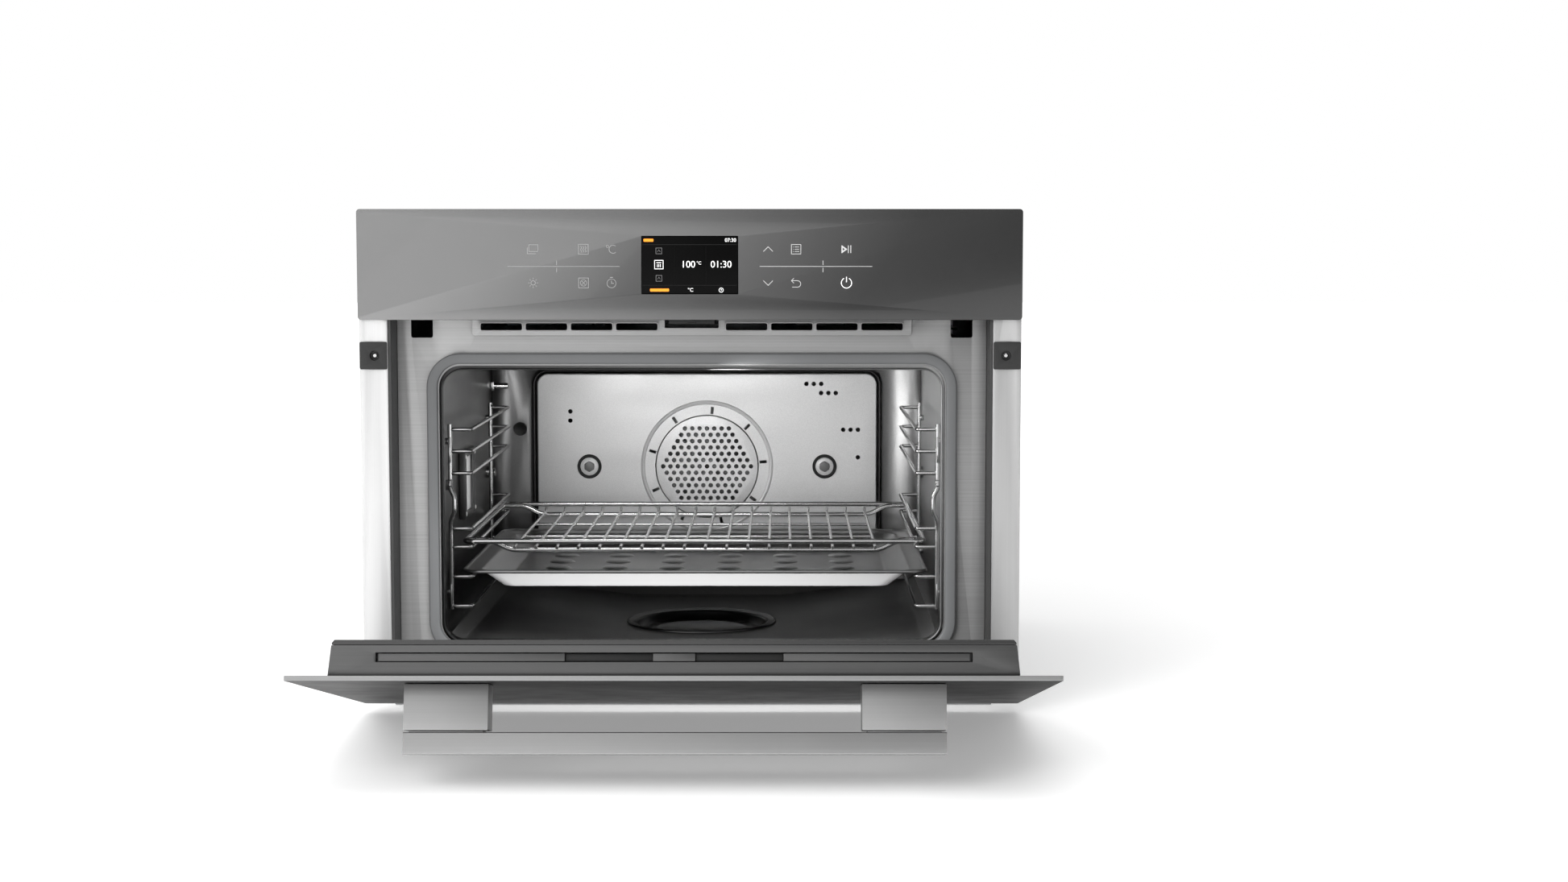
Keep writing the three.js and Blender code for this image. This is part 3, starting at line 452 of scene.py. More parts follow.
    @staticmethod
    def turned(
        name: str, axis: Axis, centre: Point, profile: Sequence[Span], steps: int = 48
    ) -> bpy.types.Object:
        """A profile spun about an axis.

        Args:
            name: The object's name.
            axis: The axis that it is spun about.
            centre: A point on the axis, as x, d and z.
            profile: Radius and place along the axis. It is closed unless it ends on the axis.
            steps: How many faces go round.

        Returns:
            The mesh object.
        """
        Bench.clear()
        bpy.ops.mesh.primitive_circle_add(vertices=len(profile), fill_type="NOTHING")
        obj = Bench.settle(name)
        along = {Axis.X: Vector((1, 0, 0)), Axis.Y: Vector((0, 1, 0)), Axis.Z: Vector((0, 0, 1))}[axis]
        out = Vector((1, 0, 0)) if axis is not Axis.X else Vector((0, 0, 1))
        middle = at(*centre)
        for vertex, (radius, place) in zip(obj.data.vertices, profile):
            vertex.co = middle + (out * radius + along * place) * MM
        last = len(profile) - 1
        if profile[0][0] == 0 and profile[-1][0] == 0:
            Bench.choose(obj, Pick.EDGES, lambda e: set(e.vertices) == {0, last})
            bpy.ops.mesh.delete(type="EDGE_FACE")
            bpy.ops.object.mode_set(mode="OBJECT")
        Bench.choose(obj, Pick.VERTS, lambda v: True)
        bpy.ops.mesh.spin(steps=steps, angle=2 * math.pi, center=middle, axis=along, use_auto_merge=True)
        bpy.ops.object.mode_set(mode="OBJECT")
        Bench.tidy(obj)
        return Bench.smooth(obj)

    @staticmethod
    def route(corners: Sequence[Point], bend: float, steps: int = 6) -> list[Vector]:
        """A path with each of its inner corners rounded.

        Args:
            corners: The corners, as x, d and z.
            bend: How far before and after a corner the rounding starts.
            steps: How many edges make a rounding.

        Returns:
            The points of the path in the row frame.
        """
        points = [at(*corner) for corner in corners]
        made = [points[0]]
        for before, here, after in zip(points, points[1:], points[2:]):
            reach = min(bend * MM, (here - before).length * 0.49, (after - here).length * 0.49)
            start = here + (before - here).normalized() * reach
            end = here + (after - here).normalized() * reach
            for i in range(steps + 1):
                t = i / steps
                made.append(start * (1 - t) ** 2 + here * 2 * t * (1 - t) + end * t**2)
        made.append(points[-1])
        return made

    @staticmethod
    def tube(
        name: str, corners: Sequence[Point], radius: float, bend: float = 4.0, ring: bool = False,
        fineness: int = 4
    ) -> bpy.types.Object:
        """A wire of round section.

        Args:
            name: The object's name.
            corners: The corners of its route, as x, d and z.
            radius: Its radius.
            bend: How far each corner is rounded.
            ring: True if the route closes on itself.
            fineness: How fine the section is.

        Returns:
            The mesh object.
        """
        Bench.clear()
        bpy.ops.curve.primitive_bezier_curve_add(location=(0, 0, 0))
        curve = bpy.context.object.data
        curve.splines.clear()
        if ring:
            points = Bench.route([*corners, corners[0], corners[1]], bend)[1:-1]
        else:
            points = Bench.route(corners, bend)
        spline = curve.splines.new("POLY")
        spline.points.add(len(points) - 1)
        for point, place in zip(spline.points, points):
            point.co = (*place, 1)
        spline.use_cyclic_u = ring
        curve.dimensions = "3D"
        curve.bevel_depth = radius * MM
        curve.bevel_resolution = fineness
        curve.use_fill_caps = not ring
        bpy.ops.object.convert(target="MESH")
        obj = Bench.settle(name)
        Bench.tidy(obj)
        return Bench.smooth(obj, 50)

    @staticmethod
    def mirrored(obj: bpy.types.Object, name: str) -> bpy.types.Object:
        """A copy of a piece on the other side of the oven."""
        Bench.take(obj)
        bpy.ops.object.duplicate()
        twin = bpy.context.object
        twin.scale.x = -1
        Bench.settle(name)
        Bench.tidy(twin)
        return twin

    @staticmethod
    def refined(node: str, edge: float, segments: int = 2) -> bpy.types.Object:
        """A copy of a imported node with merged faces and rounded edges.

        Args:
            node: The node's name.
            edge: The width of the rounding.
            segments: How many faces make the rounding.

        Returns:
            The copy, which stands in for the node.
        """
        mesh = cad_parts[node].data.copy()
        mesh.materials.clear()
        obj = bpy.data.objects.new(f"{node}_finished", mesh)
        bpy.context.scene.collection.objects.link(obj)
        Bench.take(obj)
        bpy.ops.object.mode_set(mode="EDIT")
        bpy.ops.mesh.select_all(action="SELECT")
        bpy.ops.mesh.remove_doubles(threshold=2e-6)
        if edge > 0:
            bpy.ops.mesh.dissolve_limited(angle_limit=math.radians(0.6))
        bpy.ops.object.mode_set(mode="OBJECT")
        return Bench.soften(obj, edge, segments) if edge > 0 else Bench.smooth(obj)

    @staticmethod
    def opened(obj: bpy.types.Object) -> bpy.types.Object:
        """Turns a piece drawn on the closed door to where the open door stands."""
        pivot = at(0, *DOOR_PIVOT)
        turn = Matrix.Translation(pivot) @ Matrix.Rotation(DOOR_OPEN, 4, "X") @ Matrix.Translation(-pivot)
        obj.data.transform(turn)
        return obj


# ---------------------------------------------------------------------------------------------
# Finishes
# ---------------------------------------------------------------------------------------------


class Sheet:
    """A material's node tree, with short calls that add its nodes and join them."""

    def __init__(self, name: str) -> None:
        """Starts a material with its shader and the piece's own coordinates."""
        self.material = bpy.data.materials.new(name)
        self.material.use_nodes = True
        self.tree = self.material.node_tree
        self.shader = self.tree.nodes["Principled BSDF"]
        self.place = self.tree.nodes.new("ShaderNodeTexCoord").outputs["Object"]

    def put(self, socket: bpy.types.NodeSocket, value: object) -> None:
        """Joins another node's output to a socket, or sets the socket's own value."""
        if isinstance(value, bpy.types.NodeSocket):
            self.tree.links.new(value, socket)
        elif socket.type == "RGBA" and len(value) == 3:
            socket.default_value = (*value, 1.0)
        else:
            socket.default_value = value

    def shade(self, **values: object) -> None:
        """Sets or joins the shader's sockets, with underscores for the spaces in their names."""
        for key, value in values.items():
            self.put(self.shader.inputs[key.replace("_", " ")], value)

    def stretched(self, scale: Point) -> bpy.types.NodeSocket:
        """The piece's coordinates, stretched along each axis."""
        node = self.tree.nodes.new("ShaderNodeMapping")
        self.put(node.inputs["Vector"], self.place)
        node.inputs["Scale"].default_value = scale
        return node.outputs["Vector"]

    def noise(self, vector: bpy.types.NodeSocket, scale: float, detail: float = 3.0) -> bpy.types.NodeSocket:
        """A noise's value over the coordinates given."""
        node = self.tree.nodes.new("ShaderNodeTexNoise")
        self.put(node.inputs["Vector"], vector)
        node.inputs["Scale"].default_value = scale
        node.inputs["Detail"].default_value = detail
        return node.outputs["Fac"]

    def cells(self, scale: float) -> bpy.types.NodeSocket:
        """A flat random value for each cell of a cell pattern."""
        node = self.tree.nodes.new("ShaderNodeTexVoronoi")
        self.put(node.inputs["Vector"], self.place)
        node.inputs["Scale"].default_value = scale
        split = self.tree.nodes.new("ShaderNodeSeparateColor")
        self.put(split.inputs["Color"], node.outputs["Color"])
        return split.outputs["Red"]

    def along(self, axis: Axis) -> bpy.types.NodeSocket:
        """The piece's coordinate along one axis, in metres."""
        node = self.tree.nodes.new("ShaderNodeSeparateXYZ")
        self.put(node.inputs["Vector"], self.place)
        return node.outputs[axis.name]

    def ranged(self, value: bpy.types.NodeSocket, source: Span, target: Span) -> bpy.types.NodeSocket:
        """A value moved from one range to another, and held at its ends."""
        node = self.tree.nodes.new("ShaderNodeMapRange")
        self.put(node.inputs["Value"], value)
        for name, number in zip(("From Min", "From Max", "To Min", "To Max"), (*source, *target)):
            node.inputs[name].default_value = number
        return node.outputs["Result"]

    def blend(self, share: object, first: object, second: object) -> bpy.types.NodeSocket:
        """One colour turning into another as the share goes from 0 to 1."""
        node = self.tree.nodes.new("ShaderNodeMix")
        node.data_type = "RGBA"
        sockets = [s for s in node.inputs if s.enabled]
        for socket, value in zip(sockets, (share, first, second)):
            self.put(socket, value)
        return next(s for s in node.outputs if s.enabled)

    def bump(self, height: bpy.types.NodeSocket, strength: float, distance: float) -> bpy.types.NodeSocket:
        """A normal raised by a height.

        Args:
            height: The height pattern, from 0 to 1.
            strength: How much of it shows.
            distance: The height's full size, in millimetres.

        Returns:
            The normal for the shader.
        """
        node = self.tree.nodes.new("ShaderNodeBump")
        node.inputs["Strength"].default_value = strength
        node.inputs["Distance"].default_value = distance * MM
        self.put(node.inputs["Height"], height)
        return node.outputs["Normal"]


@dataclass(frozen=True)
class Finish:
    """A finish for a piece. Each kind adds its own pattern."""

    name: str
    slot: Slot
    colour: Colour
    roughness: float

    def material(self) -> bpy.types.Material:
        """The finish as a material, made the first time it is asked for."""
        found = bpy.data.materials.get(self.name)
        if found:
            return found
        sheet = Sheet(self.name)
        self.dress(sheet)
        return sheet.material

    def dress(self, sheet: Sheet) -> None:
        """Sets the material's nodes."""
        raise NotImplementedError


@dataclass(frozen=True)
class Brushed(Finish):
    """Metal with a fine grain of parallel scratches.

    Attributes:
        grain: How the grain is packed along each axis; a low number runs along the grain.
        contrast: How far the scratches lighten and darken the metal.
        depth: The scratches' depth, in millimetres.
        metal: How metallic the surface is.
        painted_shading: Two colours for the left and the right end: painted shade that darkens the end of the
            piece which stands in less light.
    """

    grain: Point = (2.0, 900.0, 900.0)
    contrast: float = 0.07
    depth: float = 0.01
    metal: float = 1.0
    painted_shading: tuple[float, float] = (1.0, 1.0)

    def dress(self, sheet: Sheet) -> None:
        """Scratches in colour, roughness and height, over slow cloudy variation."""
        streaks = sheet.noise(sheet.stretched(self.grain), 1.0, 4.0)
        cloud = sheet.noise(sheet.place, 9.0, 2.0)
        dark = tuple(c * (1 - self.contrast) for c in self.colour)
        light = tuple(c * (1 + self.contrast) for c in self.colour)
        colour = sheet.blend(sheet.ranged(streaks, (0.3, 0.7), (0.0, 1.0)), dark, light)
        # Painted shade: the colour is scaled from the left end's share to the right end's share across x, so
        # one end looks as if less light fell on it.
        if self.painted_shading != (1.0, 1.0):
            ends = [tuple(c * share for c in (1.0, 1.0, 1.0)) for share in self.painted_shading]
            across = sheet.blend(sheet.ranged(sheet.along(Axis.X), (-0.28, 0.28), (0.0, 1.0)), *ends)
            colour = self.tinted(sheet, colour, across)
        rough = sheet.ranged(cloud, (0.3, 0.7), (self.roughness - 0.04, self.roughness + 0.04))
        sheet.shade(
            Base_Color=colour, Metallic=self.metal, Roughness=rough,
            Normal=sheet.bump(streaks, 0.35, self.depth),
        )

    @staticmethod
    def tinted(
        sheet: Sheet, first: bpy.types.NodeSocket, second: bpy.types.NodeSocket
    ) -> bpy.types.NodeSocket:
        """Two colours multiplied."""
        node = sheet.tree.nodes.new("ShaderNodeMix")
        node.data_type = "RGBA"
        node.blend_type = "MULTIPLY"
        sockets = [s for s in node.inputs if s.enabled]
        for socket, value in zip(sockets, (1.0, first, second)):
            sheet.put(socket, value)
        return next(s for s in node.outputs if s.enabled)


@dataclass(frozen=True)
class Satin(Finish):
    """Fine-grained matt metal, such as cavity steel, with faint wipe marks.

    Attributes:
        speck: How far the grain lightens and darkens it.
        metal: How metallic it is.
        painted_shading: The brightness shares at the left and the right of the cavity: painted shade where a
            share is below one and painted light where it is above one.
    """

    speck: float = 0.06
    metal: float = 1.0
    painted_shading: Span = (1.0, 1.0)

    def dress(self, sheet: Sheet) -> None:
        """Speckle in colour and height, and clouds in roughness."""
        speckle = sheet.noise(sheet.place, 1400.0, 2.0)
        wipe = sheet.noise(sheet.stretched((6.0, 6.0, 22.0)), 1.0, 3.0)
        dark = tuple(c * (1 - self.speck) for c in self.colour)
        light = tuple(c * (1 + self.speck) for c in self.colour)
        colour = sheet.blend(sheet.ranged(speckle, (0.3, 0.7), (0.0, 1.0)), dark, light)
        # Painted shade and painted light: the colour is scaled from the left share to the right share across
        # x, as the lamps would light one wall more than the other.
        if self.painted_shading != (1.0, 1.0):
            ends = [(share, share, share) for share in self.painted_shading]
            across = sheet.blend(sheet.ranged(sheet.along(Axis.X), (-0.2, 0.2), (0.0, 1.0)), *ends)
            colour = Brushed.tinted(sheet, colour, across)
        sheet.shade(
            Base_Color=colour, Metallic=self.metal,
            Roughness=sheet.ranged(wipe, (0.3, 0.7), (self.roughness - 0.05, self.roughness + 0.05)),
            Normal=sheet.bump(speckle, 0.25, 0.01),
        )


@dataclass(frozen=True)
class Polished(Finish):
    """Bright drawn wire and plated parts, with faint die marks and water haze."""

    def dress(self, sheet: Sheet) -> None:
        """Clouds in roughness and colour."""
        haze = sheet.noise(sheet.place, 60.0, 3.0)
        marks = sheet.noise(sheet.place, 900.0, 1.0)
        dark = tuple(c * 0.86 for c in self.colour)
        sheet.shade(
            Base_Color=sheet.blend(sheet.ranged(haze, (0.35, 0.65), (0.0, 1.0)), dark, self.colour),
            Metallic=1.0,
            Roughness=sheet.ranged(haze, (0.3, 0.7), (self.roughness, self.roughness + 0.08)),
            Normal=sheet.bump(marks, 0.15, 0.01),
        )


@dataclass(frozen=True)
class Spangled(Finish):
    """Zinc-coated sheet with its flat crystals."""

    def dress(self, sheet: Sheet) -> None:
        """A random tone and gloss for each crystal, with fine grain over it."""
        crystal = sheet.cells(125.0)
        grain = sheet.noise(sheet.place, 600.0, 3.0)
        dark = tuple(c * 0.88 for c in self.colour)
        light = tuple(min(c * 1.1, 1.0) for c in self.colour)
        sheet.shade(
            Base_Color=sheet.blend(crystal, dark, light), Metallic=0.85,
            Roughness=sheet.ranged(crystal, (0.0, 1.0), (self.roughness - 0.08, self.roughness + 0.1)),
            Normal=sheet.bump(grain, 0.2, 0.02),
        )


@dataclass(frozen=True)
class Moulded(Finish):
    """Moulded plastic or rubber with a fine eroded texture.

    Attributes:
        texture: The texture's cells per metre.
        depth: The texture's depth, in millimetres.
        variation: How far the tone varies over the piece.
    """

    texture: float = 1500.0
    depth: float = 0.04
    variation: float = 0.12

    def dress(self, sheet: Sheet) -> None:
        """A pebbled surface, and slow variation in tone."""
        pebble = sheet.noise(sheet.place, self.texture, 2.0)
        slow = sheet.noise(sheet.place, 14.0, 3.0)
        dark = tuple(c * (1 - self.variation) for c in self.colour)
        light = tuple(min(c * (1 + self.variation), 1.0) for c in self.colour)
        sheet.shade(
            Base_Color=sheet.blend(sheet.ranged(slow, (0.3, 0.7), (0.0, 1.0)), dark, light),
            Roughness=sheet.ranged(pebble, (0.3, 0.7), (self.roughness - 0.06, self.roughness + 0.06)),
            Normal=sheet.bump(pebble, 0.35, self.depth),
        )


@dataclass(frozen=True)
class BackedGlass(Finish):
    """Glass with a metallic print behind it: a deep gloss over a darker ground.

    Attributes:
        metal: How metallic the print is.
        painted_shading: The display brightness shares at the left and the right, along a slant: a painted
            reflection, lighter at the upper left and dark at the right.
    """

    metal: float = 0.6
    painted_shading: Span = (1.0, 1.0)

    def dress(self, sheet: Sheet) -> None:
        """A fine pearl in the print, under a clear coat."""
        pearl = sheet.noise(sheet.place, 2600.0, 1.0)
        dust = sheet.noise(sheet.place, 25.0, 4.0)
        dark = tuple(c * 0.95 for c in self.colour)
        colour = sheet.blend(sheet.ranged(pearl, (0.3, 0.7), (0.0, 1.0)), dark, self.colour)
        # Painted reflection: the print's colour is scaled along a slant, from the upper-left share to the
        # lower-right share.
        if self.painted_shading != (1.0, 1.0):
            slant = sheet.tree.nodes.new("ShaderNodeVectorMath")
            slant.operation = "DOT_PRODUCT"
            sheet.put(slant.inputs[0], sheet.place)
            slant.inputs[1].default_value = (1.0, 0.0, -0.75)
            ends = [(share, share, share) for share in self.painted_shading]
            across = sheet.ranged(slant.outputs["Value"], (-0.62, -0.13), (0.0, 1.0))
            colour = Brushed.tinted(sheet, colour, sheet.blend(across, *ends))
        sheet.shade(
            Base_Color=colour, Metallic=self.metal,
            Roughness=sheet.ranged(dust, (0.35, 0.75), (self.roughness, self.roughness + 0.05)),
            Coat_Weight=0.35, Coat_Roughness=0.04,
        )


@dataclass(frozen=True)
class Printed(Finish):
    """Glass with a dark print that gives back little light."""

    def dress(self, sheet: Sheet) -> None:
        """Fine dots in the print, and a faint haze in the gloss."""
        dots = sheet.noise(sheet.place, 1800.0, 1.0)
        haze = sheet.noise(sheet.place, 30.0, 3.0)
        dark = tuple(c * 0.85 for c in self.colour)
        sheet.shade(
            Base_Color=sheet.blend(sheet.ranged(dots, (0.3, 0.7), (0.0, 1.0)), dark, self.colour),
            Roughness=sheet.ranged(haze, (0.3, 0.7), (self.roughness, self.roughness + 0.06)),
            Specular_IOR_Level=0.05, Coat_Weight=0.02, Coat_Roughness=0.04,
        )


@dataclass(frozen=True)
class ClearGlass(Finish):
    """Glass or clear plastic that is seen through, with a faint haze."""

    def dress(self, sheet: Sheet) -> None:
        """Transmission with clouds in roughness."""
        haze = sheet.noise(sheet.place, 40.0, 3.0)
        sheet.shade(
            Base_Color=self.colour, Transmission_Weight=0.92, IOR=1.48,
            Roughness=sheet.ranged(haze, (0.3, 0.7), (self.roughness, self.roughness + 0.06)),
        )


@dataclass(frozen=True)
class Glowing(Finish):
    """A lit or printed sign colour with a little glow of its own.

    Attributes:
        glow: The strength of its light.
    """

    glow: float = 0.6

    def dress(self, sheet: Sheet) -> None:
        """A slightly uneven tone with emission."""
        cloud = sheet.noise(sheet.place, 400.0, 1.0)
        dim = tuple(c * 0.9 for c in self.colour)
        tone = sheet.blend(cloud, dim, self.colour)
        sheet.shade(
            Base_Color=tone, Roughness=self.roughness, Emission_Color=tone, Emission_Strength=self.glow)


@dataclass(frozen=True)
class Fibrous(Finish):
    """Mineral wool: matted fibres."""

    def dress(self, sheet: Sheet) -> None:
        """Fibres in colour and height."""
        fibre = sheet.noise(sheet.stretched((60.0, 400.0, 160.0)), 1.0, 6.0)
        dark = tuple(c * 0.6 for c in self.colour)
        sheet.shade(
            Base_Color=sheet.blend(fibre, dark, self.colour), Roughness=self.roughness,
            Normal=sheet.bump(fibre, 0.9, 1.2),
        )


@dataclass(frozen=True)
class Circuit(Finish):
    """A circuit board: lacquer over copper tracks."""

    def dress(self, sheet: Sheet) -> None:
        """Blocks of track under the lacquer."""
        tracks = sheet.cells(260.0)
        dark = tuple(c * 0.55 for c in self.colour)
        sheet.shade(
            Base_Color=sheet.blend(sheet.ranged(tracks, (0.55, 0.6), (0.0, 1.0)), self.colour, dark),
            Roughness=self.roughness, Coat_Weight=0.4,
            Normal=sheet.bump(tracks, 0.3, 0.05),
        )


# Painted shade: the front frame and the side trims darken towards the right, where less light falls.
FRAME_STEEL = Brushed("Brushed frame steel", Slot.FRAME, grey(172), 0.42, metal=0.5, painted_shading=(1.0, 0.64))
TRIM_STEEL = Brushed(
    "Satin trim steel", Slot.TRIM, grey(212), 0.42, (900.0, 900.0, 2.0), 0.02, metal=0.6, painted_shading=(1.0, 0.72))
# Painted shade on the left wall and painted light on the right wall: one steel whose brightness is scaled
# across the cavity.
MUFFLE_STEEL = Satin("Muffle wall steel", Slot.CAVITY, grey(188), 0.34, painted_shading=(0.26, 1.1))
# Painted shade: a darker copy of the cavity steel for the floor, standing for the shade under the tray and
# the shelf.
FLOOR_SHADE_STEEL = Satin("Muffle floor painted shade", Slot.CAVITY, grey(118), 0.42, metal=0.6)
# Painted shade on the left and painted light on the right of the baffle, the fan disc and the rear corner
# strips.
BACK_STEEL = Satin("Baffle steel", Slot.CAVITY, grey(226), 0.5, metal=0.6, painted_shading=(0.86, 1.2))
STRIP_STEEL = Satin("Rear corner steel", Slot.CAVITY, grey(206), 0.38, metal=0.9, painted_shading=(0.3, 0.9))
GROOVE_STEEL = Satin("Shaded groove steel", Slot.CAVITY, grey(70), 0.5)
DISH_STEEL = Satin("Evaporator dish steel", Slot.CAVITY, grey(96), 0.34)
CHROME = Polished("Bright wire", Slot.WIRE, grey(214), 0.13)
NUT_STEEL = Satin("Nut steel", Slot.WIRE, grey(228), 0.45, metal=0.3)
SOCKET_STEEL = Satin("Hexagon steel", Slot.WIRE, grey(118), 0.45, metal=0.3)
ZINC_SHEET = Spangled("Zinc-coated sheet", Slot.CASING, grey(168, -1), 0.46)
# Painted reflection: the glass is light at the upper left and darkens strongly towards the right.
PANEL_GLASS = BackedGlass("Grey control glass", Slot.CONTROL, grey(150), 0.2, 0.75, (0.8, 0.17))
DOOR_GLASS = BackedGlass("Dark door glass", Slot.GLASS, grey(60), 0.07, 0.3)
DOOR_FRONT = Printed("Dark door front", Slot.GLASS, grey(24), 0.4)
EDGE_GLASS = BackedGlass("Ground glass edge", Slot.GLASS, grey(150), 0.3, 0.5)
# Painted shade: the door profile darkens towards the right, where less light falls.
DOOR_PROFILE = Brushed(
    "Grey door profile", Slot.PROFILE, grey(98), 0.4, contrast=0.04, metal=0.7, painted_shading=(1.0, 0.84))
HANDLE_METAL = Brushed("Anodised handle", Slot.HANDLE, grey(174), 0.38, (3.0, 1200.0, 1200.0), 0.03)
BLACK_PLASTIC = Moulded("Black plastic", Slot.BLACK, grey(22), 0.5)
LINER_PLASTIC = Moulded("Dark liner", Slot.BLACK, grey(54), 0.55)
GREY_PLASTIC = Moulded("Grey plastic", Slot.GREY, grey(34), 0.5)
SEAL_RUBBER = Moulded("Black seal rubber", Slot.GASKET, grey(26), 0.6)
GASKET_RUBBER = Moulded("Door gasket silicone", Slot.GASKET, grey(96, -1), 0.5, 900.0, 0.03, 0.05)
TRAY_STEEL = Satin("Tray steel", Slot.TRAY, grey(158), 0.32)
# Painted light: a near-white, barely metallic copy of the tray steel for its lower front walls, so they look
# as if a lamp lit them.
TRAY_PAINTED_LIGHT = Satin("Tray wall painted light", Slot.TRAY, grey(252), 0.45, 0.01, 0.0)
HEATER_TUBE = Moulded("Heater sheath", Slot.HEATER, grey(84, 4), 0.5)
WOOL = Fibrous("Mineral wool", Slot.WOOL, grey(198, 12), 1.0)
BOARD = Circuit("Circuit board", Slot.BOARD, (0.03, 0.16, 0.06), 0.4)
LAMP_GLASS = Glowing("Milky lamp glass", Slot.CLEAR, grey(225), 0.18, 0.25)
BULB_GLASS = ClearGlass("Bulb glass", Slot.CLEAR, grey(250), 0.03)
PANE_GLASS = ClearGlass("Clear pane", Slot.CLEAR, grey(225), 0.02)
TANK_PLASTIC = ClearGlass("Tank plastic", Slot.TANK, grey(232, -4), 0.1)
SCREEN_BLACK = Printed("Screen black", Slot.SCREEN, grey(8), 0.3)
SCREEN_SHADE = Printed("Screen grey", Slot.SCREEN, grey(40), 0.3)
SCREEN_WHITE = Glowing("Screen white", Slot.SCREEN, grey(238), 0.4, 0.75)
SCREEN_FAINT = Glowing("Screen faint", Slot.SCREEN, grey(110), 0.4, 0.1)
SCREEN_ORANGE = Glowing("Screen orange", Slot.SCREEN, (0.9, 0.26, 0.01), 0.4, 0.7)
PRINT_LIGHT = Glowing("Panel print", Slot.CONTROL, grey(196), 0.4, 0.12)
PRINT_FAINT = Glowing("Faint panel print", Slot.CONTROL, grey(150), 0.4, 0.08)
PRINT_BRIGHT = Glowing("Bright panel print", Slot.CONTROL, grey(245), 0.4, 0.6)


def deliver(obj: bpy.types.Object, body: Body, finish: Finish, *nodes: str) -> bpy.types.Object:
    """Dresses a new piece, and puts it on its body.

    Args:
        obj: The piece.
        body: The body that it moves with.
        finish: Its finish.
        nodes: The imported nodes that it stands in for.

    Returns:
        The piece.
    """
    if not obj.data.materials:
        obj.data.materials.append(finish.material())
    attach(obj, body.value)
    if nodes:
        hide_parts(*nodes)
    LOG.info("%s rides on %s", obj.name, body.value)
    return obj


def refit(node: str, body: Body, finish: Finish, edge: float, segments: int = 2) -> None:
    """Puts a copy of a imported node, with its edges rounded, in the node's place.

    Args:
        node: The node's name.
        body: The body that it moves with.
        finish: Its finish.
        edge: The width of the rounding.
        segments: How many faces make the rounding.
    """
    deliver(Bench.refined(node, edge, segments), body, finish, node)


def dressed(finish: Finish, *nodes: str) -> None:
    """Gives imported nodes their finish, and leaves their shape as it is."""
    for node in nodes:
        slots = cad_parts[node].data.materials
        slots.clear()
        slots.append(finish.material())
        LOG.info("%s keeps its shape", node)


# ---------------------------------------------------------------------------------------------
# Sub-assemblies
# ---------------------------------------------------------------------------------------------


@dataclass
class Casing:
    """The zinc-coated box round the works, with its screws and cable gland."""

    half: float = 276.0
    back: float = 548.0
    top: float = 444.0
    screw: float = 3.6
    side_screws: tuple[Span, ...] = ((70, 20), (70, 430), (300, 20), (300, 430), (520, 20), (520, 430))
    back_screws: tuple[Span, ...] = ((-262, 20), (262, 20), (-262, 428), (262, 428), (0, 20), (0, 428))

    def build(self) -> None:
        """Dresses the sheets, and adds the screws and the side ribs."""
        dressed(ZINC_SHEET, "base_pan", "side_panel_left", "side_panel_right", "top_cover", "rear_cover")
        refit("cable_gland", Body.OVEN, BLACK_PLASTIC, 0.5)
        heads = [self.head(Axis.Y, (x, self.back, z), 1) for x, z in self.back_screws]
        for side in Side:
            heads += [
                self.head(Axis.X, (side.value * self.half, d, z), side.value) for d, z in self.side_screws]
        heads += [self.head(Axis.Z, (x, d, self.top), 1) for x in (-262, 262) for d in (70, 300, 520)]
        deliver(Bench.joined("casing_screws", heads), Body.OVEN, NUT_STEEL)
        for side in Side:
            self.ribs(side)

    def head(self, axis: Axis, centre: Point, sign: int) -> bpy.types.Object:
        """A pan-head screw with a cross recess.

        Args:
            axis: The axis that it is driven along.
            centre: The middle of its seat.
            sign: Which way along the axis the head stands.

        Returns:
            The mesh object.
        """
        r = self.screw
        profile = [(0.0, -0.6), (r, -0.6), (r, 0.6), (r * 0.86, 1.3), (r * 0.5, 1.7), (0.0, 1.8)]
        obj = Bench.turned("screw", axis, centre, [(a, b * sign) for a, b in profile], 16)
        seat = list(centre)
        place = {Axis.X: 0, Axis.Y: 1, Axis.Z: 2}[axis]
        seat[place] += 1.8 * sign
        spans = [[c - 0.45, c + 0.45] for c in seat]
        spans[place] = [seat[place] - 1.0, seat[place] + 1.0]
        others = [i for i in range(3) if i != place]
        for wide in others:
            arm = [list(span) for span in spans]
            arm[wide] = [seat[wide] - 1.9, seat[wide] + 1.9]
            Bench.cut(obj, Bench.block("recess", *(tuple(span) for span in arm)))
        return obj

    def ribs(self, side: Side) -> None:
        """Two long pressed ribs that stiffen a side sheet."""
        made = []
        for z in (110, 250):
            x = side.value * self.half
            spans = sorted((x - side.value * 0.8, x + side.value * 1.4))
            rib = Bench.block("rib", (spans[0], spans[1]), (90, 400), (z - 9, z + 9))
            made.append(Bench.soften(rib, 1.3, 3))
        deliver(Bench.joined(f"side_ribs_{side.name.lower()}", made), Body.OVEN, ZINC_SHEET)


